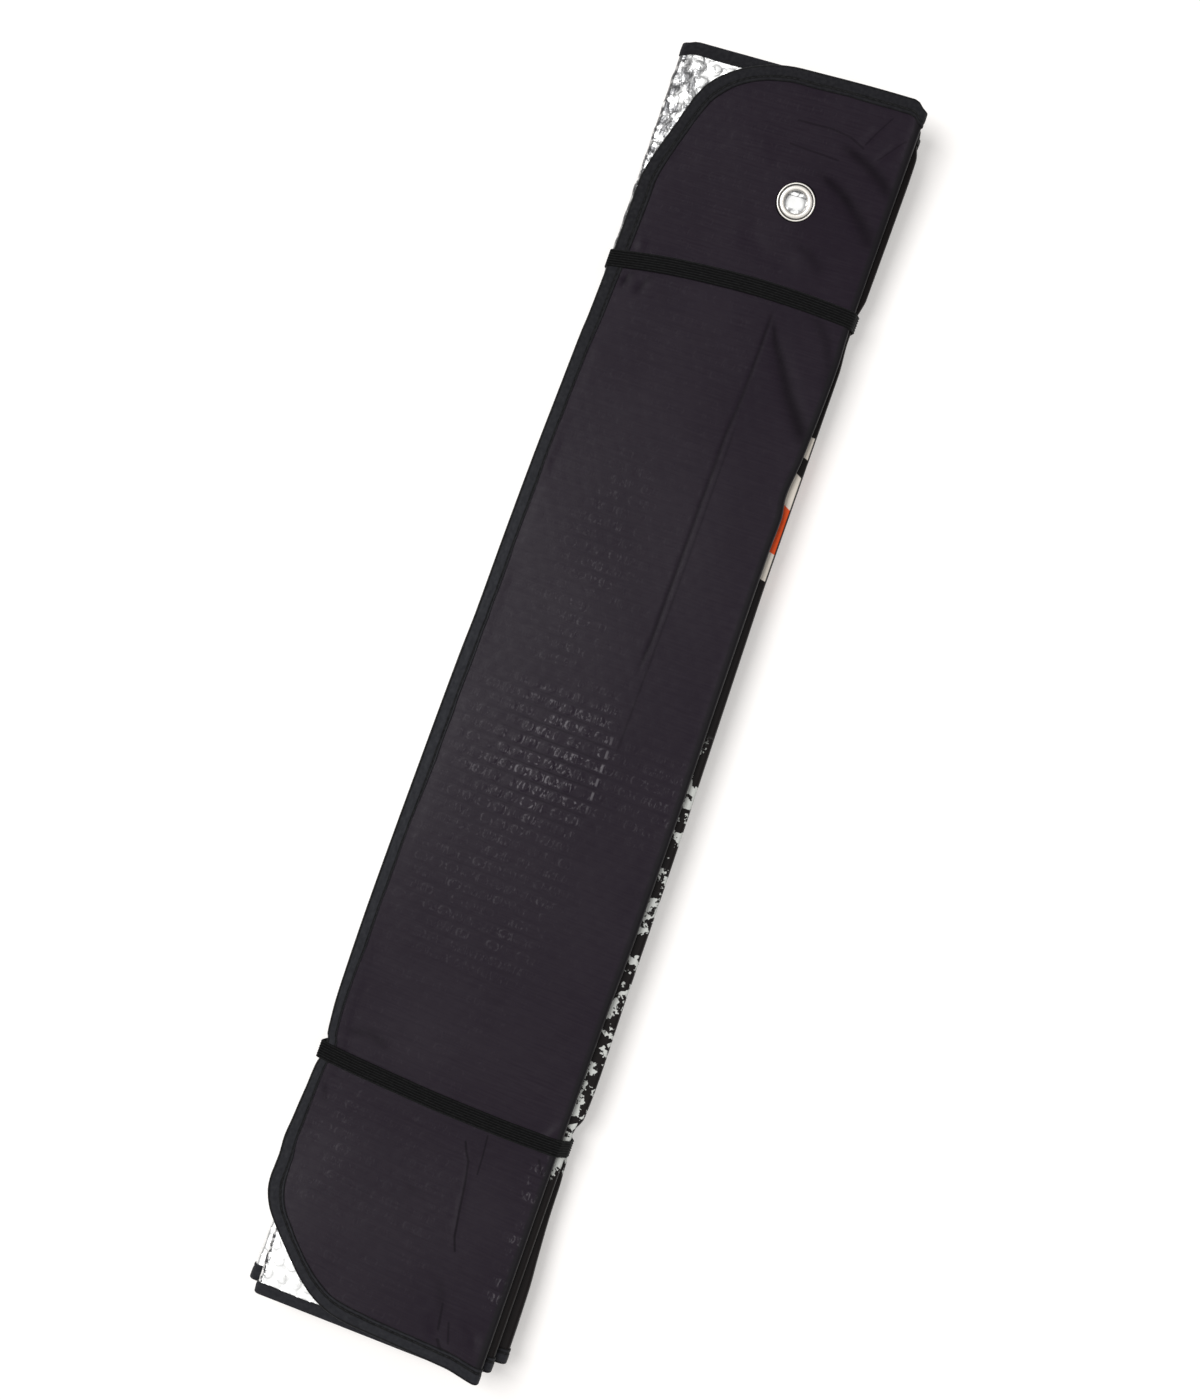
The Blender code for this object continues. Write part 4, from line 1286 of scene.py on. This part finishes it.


# Painted shade as thin dark lines in the first panel's creases: places, half width and how dark, in mm
THIN_SHADE_LINES_MM = (
    (((2.3, 319.9), (20.4, 321.4), (30.8, 320.4), (38.5, 317.3)), 0.9, 0.38),
    (((2.3, 307.5), (28.2, 307.5)), 0.8, 0.35),
    (((39, 319.4), (42.7, 327.1), (47.8, 336.4)), 0.7, 0.34),
    (((47.8, 314.2), (52.5, 320.4), (58.2, 327.6)), 0.6, 0.34),
    (((15.3, -235.4), (17.3, -240), (19.9, -244.2), (22, -254.5)), 0.9, 0.60),
    (((22, -254.5), (24.1, -270), (26.1, -282.9), (28.7, -289.7)), 0.9, 0.65),
    (((25.1, -228.7), (26.1, -239), (26.6, -249.3)), 0.7, 0.55),
    (((31.8, -316.5), (33.9, -329.5)), 1.0, 0.50),
    (((38, -324.8), (41.1, -334.6)), 0.9, 0.45),
    (((35.4, -334.6), (38, -338.3), (43.7, -339.3)), 1.4, 0.60),
    (((54.5, -232), (58.2, -238.5)), 1.0, 0.45),
)
SEGMENT_FADE = 0.25
STEPS_TO_FLATTEN = 12


def flat_places(points_mm):
    """The flat places, across and along, of places on the folded first panel."""
    x, y = (np.array(column) * MM for column in zip(*points_mm))
    across, along = x + PANEL_WIDTH / 2, y.copy()
    for _ in range(STEPS_TO_FLATTEN):
        found = folded(across, along, SHEET_HALF)
        across, along = across + x - found[:, 0], along + y - found[:, 1]
    return list(zip(across.tolist(), along.tolist()))


def drawn_lines(shader, lines_mm):
    """How dark some soft lines over the flat sheet are, from 0 to 1."""
    total = 0.0
    for points_mm, half_width, share in lines_mm:
        places = flat_places(points_mm)
        for first, last in zip(places, places[1:]):
            way = Vector((last[0] - first[0], last[1] - first[1], 0))
            start = shader.vector_math("SUBTRACT", {0: shader.flat, 1: (*first, 0)})
            part = shader.vector_math(
                "DOT_PRODUCT", {0: start, 1: tuple(way / way.length_squared)}, "Value"
            )
            part = shader.math("ADD", part, 0.0, clamp=True)
            nearest = shader.vector_math("SCALE", {0: tuple(way), "Scale": part})
            distance = shader.vector_math("DISTANCE", {0: start, 1: nearest}, "Value")
            width = half_width * MM
            near = shader.ramp(distance, width, width * SEGMENT_FADE, 0.0, share)
            total = shader.most(near, total)
    return total


def cloth_material():
    shader = Shader("coated_cloth", Sheen_Weight=0.01)
    tone = shader.ramp(shader.noise(60, 900, 2.0) + shader.noise(25, 14, 3.0), 0.75, 1.25)
    dark = shader.mix(tone, (0.0122, 0.0076, 0.0138, 1), (0.0160, 0.0110, 0.0175, 1))
    across, along, _ = shader.split(shader.flat)

    # The sheen patches: painted highlights as strokes and arcs along the rows of bubbles, and painted shade between
    # the rows
    dome, rim, row_part, value = bubble_rims(shader, across, along)
    patch = shader.attribute("sheen_patches")
    blotch = shader.ramp(shader.noise(95, 70, 3.0, offset=(7, 2, 0)), 0.40, 0.58)
    strokes = shader.ramp(shader.noise(900, 260, 2.5, 0.6, offset=(1, 9, 0)), 0.52, 0.68)
    in_row = shader.ramp(row_part, 0.36, 0.20)
    arcs = rim * shader.ramp(shader.noise(500, 500, 2.0), 0.44, 0.60)
    arcs = arcs * shader.ramp(value, 0.35, 0.9)
    marks = shader.most(strokes * blotch, arcs) * (in_row * patch)
    at_crease = shader.beside(across, CREASE_ACROSS, 0.0009, 0.0003) * in_row
    at_crease = at_crease * shader.ramp(patch, 0.45, 0.95, 0.0, 0.8)
    painted_glints = shader.math("MAXIMUM", marks, at_crease, clamp=True)
    # Painted highlights: the bubbles' rims and the long crease glint, lightened into the cloth's colour
    dark = shader.mix(painted_glints * 0.85, dark, (0.120, 0.110, 0.122, 1))
    shade_between_rows = shader.ramp(row_part, 0.40, 0.48) * (patch * 0.24)

    # Painted shade: dark lines in the creases, the hollows, between the bubble rows, the ring round the eyelet and the
    # band along the first fold
    eyelet = (EYELETS_ACROSS[0], EYELET_ALONG, 0)
    from_eyelet = shader.vector_math("DISTANCE", {0: shader.flat, 1: eyelet}, "Value")
    hollow_shade = shader.most(
        shade_between_rows, shader.attribute("soft_shade"),
        shader.ramp(from_eyelet, 0.0109, 0.0103, 0.0, 0.9),
    )
    lines = shader.math("MAXIMUM", drawn_lines(shader, THIN_SHADE_LINES_MM), hollow_shade, clamp=True)
    dark = shader.mix(lines, dark, (0.0035, 0.0025, 0.0038, 1))
    from_fold = from_nearest(across, PANEL_WIDTH)
    first_side = shader.ramp(across, 0.5 * PANEL_WIDTH, 0.51 * PANEL_WIDTH)
    at_fold = shader.ramp(from_fold, 0.0056, 0.0028) * first_side
    dark = shader.mix(at_fold * 0.85, dark, (0.0100, 0.0095, 0.0105, 1))
    inner = shader.between(
        across, PANEL_WIDTH + HALF_FOLD, PANEL_WIDTH + HALF_FOLD + MM,
        SHEET_WIDTH - PANEL_WIDTH - MM, SHEET_WIDTH - PANEL_WIDTH,
    )

    threads = shader.waves(0.00042, "X") + shader.waves(0.00036, "Y", 0.4)
    normal = shader.bump(threads, shader.ramp(from_fold, 0.0030, 0.0055) * 0.00003, 0.5)
    normal = shader.bump(shader.noise(500, 1500, 2.0), 0.00002, 0.25, normal)
    normal = shader.bump(dome * (patch * blotch + 0.10), 0.00012, 1.0, normal)
    normal = shader.bump(painted_glints, 0.00010, 1.0, normal)
    shader.set(
        Base_Color=shader.mix(inner, dark, printed_colours(shader, across, along)),
        Normal=normal,
        Specular_IOR_Level=shader.ramp(along, 0.02, 0.31, 0.113, 0.056) * (1.0 - lines * 0.55),
        Roughness=shader.noisy_roughness(150, 400, 0.28, 0.38, offset=(3, 1, 0)),
    )
    return shader.material


# Where along the sheet the print's warm bands and light mottling start and stop
WARM_PART = (0.0865, 0.0870, 0.1755, 0.1760)
MOTTLED_PART = (-0.245, -0.242, -0.004, 0.008)
PAST_LOWER_STRAP = -0.236
BAND_PITCH = 0.036
BAND_SLANT = 0.35


def printed_colours(shader, across, along):
    """A generic print: slanted warm bands at the far end, light mottling at the near end."""
    black, orange = (0.010, 0.008, 0.008, 1), (0.74, 0.085, 0.018, 1)
    cream, light = (0.72, 0.66, 0.58, 1), (0.60, 0.61, 0.58, 1)
    slanted = across * BAND_SLANT + (along + shader.noise(14, 14, 2.0) * 0.05)
    band = shader.math("PINGPONG", slanted, BAND_PITCH)
    warm = shader.mix(shader.ramp(band, 0.0120, 0.0125), orange, cream)
    warm = shader.mix(shader.ramp(band, 0.0300, 0.0305), warm, black)
    warm = shader.mix(shader.beside(across, 3 * PANEL_WIDTH, 0.0020, 0.0015), warm, black)
    blots = shader.noise(70, 60, 4.0, 0.65) * 0.7 + shader.noise(260, 240, 3.0, 0.6) * 0.3
    past_strap = shader.beside(along, PAST_LOWER_STRAP, 0.011, 0.004, 0.0, 0.09)
    mottled = shader.mix(shader.ramp(blots + past_strap, 0.515, 0.530), black, light)
    plain = shader.mix(shader.between(along, *MOTTLED_PART), black, mottled)
    return shader.mix(shader.between(along, *WARM_PART), plain, warm)


def foil_material():
    shader = Shader("silver_bubble_foil")
    across, along, _ = shader.split(shader.flat)
    dome, rim, _, value = bubble_rims(
        shader, across + shader.wander(170, 170, 0.0045),
        along + shader.wander(150, 150, 0.0045, offset=(5, 3, 0)),
    )
    silver = shader.mottled(160, 160, 0.35, 0.7, (0.90, 0.90, 0.89, 1), (0.97, 0.97, 0.96, 1))

    # Painted shade along the crushed folds, most at the far end and in the folds that lie highest
    far = shader.ramp(along, -0.2, 0.25)
    from_fold = from_nearest(across, 2 * PANEL_WIDTH)
    lower_fold = shader.ramp(across, 3 * PANEL_WIDTH, 3 * PANEL_WIDTH + 0.01, 1.0, 0.08)
    from_crush = from_fold + shader.ramp(far, 0.0, 1.0, 0.0018, 0.0)
    at_fold = shader.ramp(from_crush, 0.0056, 0.0040) * lower_fold
    patches = shader.ramp(shader.noise(110, 80, 2.0, 0.5, offset=(4, 4, 0)), 0.40, 0.47)
    patches = patches * (far * shader.ramp(from_fold, 0.0200, 0.0110))
    wrinkles = shader.noise(430, 260, 3.0, 0.65)
    folds = abs(shader.noise(190, 150, 2.0, 0.5, offset=(8, 1, 0)) - 0.5)
    rings = shader.most(
        rim * shader.ramp(value, 0.2, 1.0, 0.25, 0.72), shader.ramp(folds, 0.055, 0.012) * 0.66
    )
    # Painted shade: dark at the folds, in crumpled patches and at the bubbles' rims, fainter towards the near end
    dark = shader.most(
        at_fold * shader.ramp(wrinkles, 0.45, 0.54, 0.0, 0.96),
        patches * shader.ramp(wrinkles, 0.38, 0.52, 0.50, 0.92),
        rings * shader.ramp(far, 0.0, 1.0, 0.05, 1.0),
    )

    # Plain where the eyelet's hole lies on it, with the shade of its rim
    eyelet_across = across - (2 * PANEL_WIDTH - EYELET_FROM_FREE_EDGE)
    eyelet_along = along - EYELET_ALONG
    from_eyelet = shader.math(
        "SQRT", eyelet_across * eyelet_across + eyelet_along * eyelet_along
    )
    away = shader.ramp(from_eyelet, 0.012, 0.018)
    toward = eyelet_across * 0.34 + eyelet_along * 0.94
    behind_rim = shader.ramp(toward, 0.0047, 0.0055) * shader.ramp(from_eyelet, 0.010, 0.009)
    dark = shader.most(dark * away, behind_rim)

    height = shader.ramp(shader.most(at_fold, patches), 0.0, 1.0, 0.00006, 0.0006) * away
    normal = shader.bump(dome, away * 0.00015, 0.7)
    roughness = shader.noisy_roughness(300, 300, 0.24, 0.38, offset=(2, 5, 0))
    shader.set(
        Metallic=shader.ramp(away, 0.0, 1.0, 0.15, 0.80),
        Base_Color=shader.mix(dark, silver, (0.07, 0.07, 0.075, 1)),
        Normal=shader.bump(wrinkles, height, 0.8, normal),
        Roughness=roughness + shader.ramp(away, 0.0, 1.0, 0.30, 0.0),
    )
    return shader.material


def tape_material():
    shader = Shader("binding_tape", Specular_IOR_Level=0.25, Sheen_Weight=0.08)
    yarn = shader.mottled(
        220, 500, 0.3, 0.75, (0.0135, 0.0138, 0.0175, 1), (0.0215, 0.0220, 0.0265, 1)
    )
    _, place_y, _ = shader.split(shader.add("ShaderNodeTexCoord").outputs["Object"])
    # Painted shade: the tape darker towards the bundle's ends, most at the far end
    shade_toward_ends = shader.most(
        shader.ramp(place_y, 0.03, 0.26, 0.0, 0.95), shader.ramp(place_y, -0.08, -0.25, 0.0, 0.30)
    )
    yarn = shader.mix(shade_toward_ends, yarn, (0.0055, 0.0052, 0.0075, 1))
    _, inwards, _ = shader.split(shader.flat)
    seen_in = inwards + shader.wander(130, 10, 0.0007)
    shade = shader.most(
        shader.beside(seen_in, STITCH_LINE, 0.0010, 0.0004),
        shader.beside(seen_in, TAPE_WIDTH, 0.0008, 0.0003),
        shader.ramp(seen_in, 0.0008, 0.0000),
    )
    shader.set(
        Base_Color=shader.mix(shade, yarn, (0.0014, 0.0014, 0.0018, 1)),
        Normal=shader.woven(0.00050, 0.00045, 0.00008),
        Roughness=shader.noisy_roughness(500, 500, 0.72, 0.9),
    )
    return shader.material


def thread_material():
    shader = Shader("stitch_thread", Roughness=0.6, Specular_IOR_Level=0.3)
    tone = shader.noise(900, 900, 2.0)
    shader.set(
        Base_Color=shader.mix(tone, (0.006, 0.006, 0.007, 1), (0.013, 0.013, 0.015, 1)),
        Normal=shader.bump(shader.waves(0.00035, "DIAGONAL"), 0.00004, 0.5),
    )
    return shader.material


def elastic_material():
    shader = Shader("elastic_band", Specular_IOR_Level=0.14, Sheen_Weight=0.03)
    _, sideways, _ = shader.split(shader.flat)
    half_pitch = STRAP_WIDTH / STRAP_RIBS / 2
    groove = shader.math("PINGPONG", abs(sideways), half_pitch) / half_pitch
    yarn = shader.mottled(
        700, 1200, 0.3, 0.75, (0.0040, 0.0041, 0.0042, 1), (0.0110, 0.0112, 0.0112, 1)
    )
    # Painted shade in the grooves between the ribs
    shader.set(
        Base_Color=shader.mix(shader.ramp(groove, 0.20, 0.75), yarn, (0.0006, 0.0006, 0.0006, 1)),
        Normal=shader.woven(0.00062, 0.00066, 0.00006),
        Roughness=shader.noisy_roughness(600, 600, 0.75, 0.95),
    )
    return shader.material


def nickel_material():
    shader = Shader("nickel", Metallic=0.55)
    polished = shader.mottled(900, 900, 0.35, 0.7, (0.84, 0.80, 0.74, 1), (0.93, 0.89, 0.84, 1))
    radius, run, _ = shader.split(shader.flat)
    shade = shader.most(
        shader.beside(radius, FLANGE_GROOVE_RADIUS, 0.00054, 0.00024) * 0.95,
        shader.beside(radius, BORE_GROOVE_RADIUS, 0.00030, 0.00012) * 0.65,
        shader.ramp(run, BORE_RUN - 0.0003, BORE_RUN) * 0.97,
    )
    shader.set(
        Base_Color=shader.mix(shade, polished, (0.02, 0.018, 0.016, 1)),
        Roughness=shader.noisy_roughness(700, 700, 0.22, 0.30),
    )
    return shader.material


# The photograph: its size in pixels, how the bundle is turned in it and how big it appears
PICTURE_WIDTH, PICTURE_HEIGHT = 1200, 1400
BUNDLE_TURNED = math.radians(19.4)
METRES_PER_PIXEL = 0.000517
CAMERA_DISTANCE = 1.10
AIM = Vector((0.0049, 0.0040, 0.033))


def make_camera():
    camera = bpy.data.cameras.new("camera")
    camera.sensor_fit = "VERTICAL"
    camera.sensor_height = 24.0
    camera.lens = camera.sensor_height * CAMERA_DISTANCE / (PICTURE_HEIGHT * METRES_PER_PIXEL)
    holder = bpy.data.objects.new("camera", camera)
    bpy.context.scene.collection.objects.link(holder)
    holder.location = AIM + Vector((0, 0, CAMERA_DISTANCE))
    holder.rotation_euler = (0, 0, BUNDLE_TURNED)
    bpy.context.scene.camera = holder


FLOOR_REACH = 6.0
FLOOR_DROP = 0.0003


def make_floor():
    """A pale floor that glows a little where it is seen, without lighting the object more."""
    mesh = bpy.data.meshes.new("floor")
    corners = [
        (x * FLOOR_REACH, y * FLOOR_REACH, -FLOOR_DROP)
        for x, y in ((-1, -1), (1, -1), (1, 1), (-1, 1))
    ]
    mesh.from_pydata(corners, [], [(0, 1, 2, 3)])
    floor = bpy.data.objects.new("floor", mesh)
    bpy.context.scene.collection.objects.link(floor)
    material = bpy.data.materials.new("floor")
    nodes = Nodes(material)
    nodes.tree.nodes.remove(nodes.tree.nodes["Principled BSDF"])
    seen = nodes.add("ShaderNodeBsdfDiffuse", {"Color": (0.74, 0.72, 0.705, 1)})
    glow = nodes.add("ShaderNodeEmission", {"Color": (1, 0.98, 0.96, 1), "Strength": 0.33})
    both = nodes.add("ShaderNodeAddShader", {0: seen.outputs[0], 1: glow.outputs[0]})
    plain = nodes.add("ShaderNodeBsdfDiffuse", {"Color": (0.8, 0.8, 0.8, 1)})
    path = nodes.add("ShaderNodeLightPath").outputs
    shown = nodes.most(path["Is Glossy Ray"], path["Is Transmission Ray"], path["Is Camera Ray"])
    choose = nodes.add("ShaderNodeMixShader", {0: shown, 1: plain.outputs[0], 2: both.outputs[0]})
    nodes.put(nodes.tree.nodes["Material Output"].inputs["Surface"], choose.outputs[0])
    mesh.materials.append(material)
    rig.stage(floor)


def make_lamp(name, toward, distance, size, power):
    """A soft box that faces the bundle from a direction."""
    lamp = bpy.data.lights.new(name, "AREA")
    lamp.shape = "RECTANGLE"
    lamp.size, lamp.size_y = size
    lamp.energy = power
    holder = bpy.data.objects.new(name, lamp)
    bpy.context.scene.collection.objects.link(holder)
    holder.location = Vector(toward).normalized() * distance
    holder.rotation_euler = (-holder.location).to_track_quat("-Z", "Y").to_euler()


# How strong the world is by the height it is seen at: from, to, strength there and there
ZENITH_GLOW = (0.30, 0.95, 0.06, 0.75)
HORIZON_GLOW = (0.30, 0.10, 0.0, 0.82)


def make_light():
    make_lamp("key", (-0.43, 0.10, 1.0), 3.0, (1.10, 1.3), 60)
    world = bpy.data.worlds.new("studio")
    nodes = Nodes(world)
    _, _, height = nodes.split(nodes.add("ShaderNodeTexCoord").outputs["Generated"])
    glow = nodes.ramp(height, *ZENITH_GLOW) + nodes.ramp(height, *HORIZON_GLOW)
    back = nodes.tree.nodes["Background"].inputs
    nodes.put(back["Color"], (1, 1, 1, 1))
    nodes.put(back["Strength"], glow)
    bpy.context.scene.world = world


def main():
    cloth = make_cloth(cloth_material())
    foil = make_foil(foil_material())
    edge = Edge(corner_steps=36, fold_steps=10, cell=0.0026)
    binding = make_binding(tape_material(), edge)
    stitches = make_stitches(thread_material(), edge)
    elastic = elastic_material()
    straps = [make_strap(name, elastic) for name in STRAPS]
    eyelets = make_eyelets(nickel_material())
    cut = SHEET_WIDTH * SHEET_LENGTH - (4 - math.pi) * CORNER_RADIUS**2
    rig.sheet(
        cloth, flat=(SHEET_WIDTH, SHEET_LENGTH), held="folded", area=cut,
        with_pieces=[binding, stitches, *eyelets],
    )
    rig.sheet(
        foil, flat=(SHEET_WIDTH, SHEET_LENGTH), held="folded", area=cut, rests_on=[cloth.name]
    )
    make_floor()
    make_light()
    make_camera()
    bpy.context.scene.view_settings.view_transform = "Standard"


main()
boxes = {"cad": [list(corner) for corner in cad_box], "shown": [list(c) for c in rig.bounds()]}
with open("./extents.json", "w") as sizes:
    json.dump(boxes, sizes)
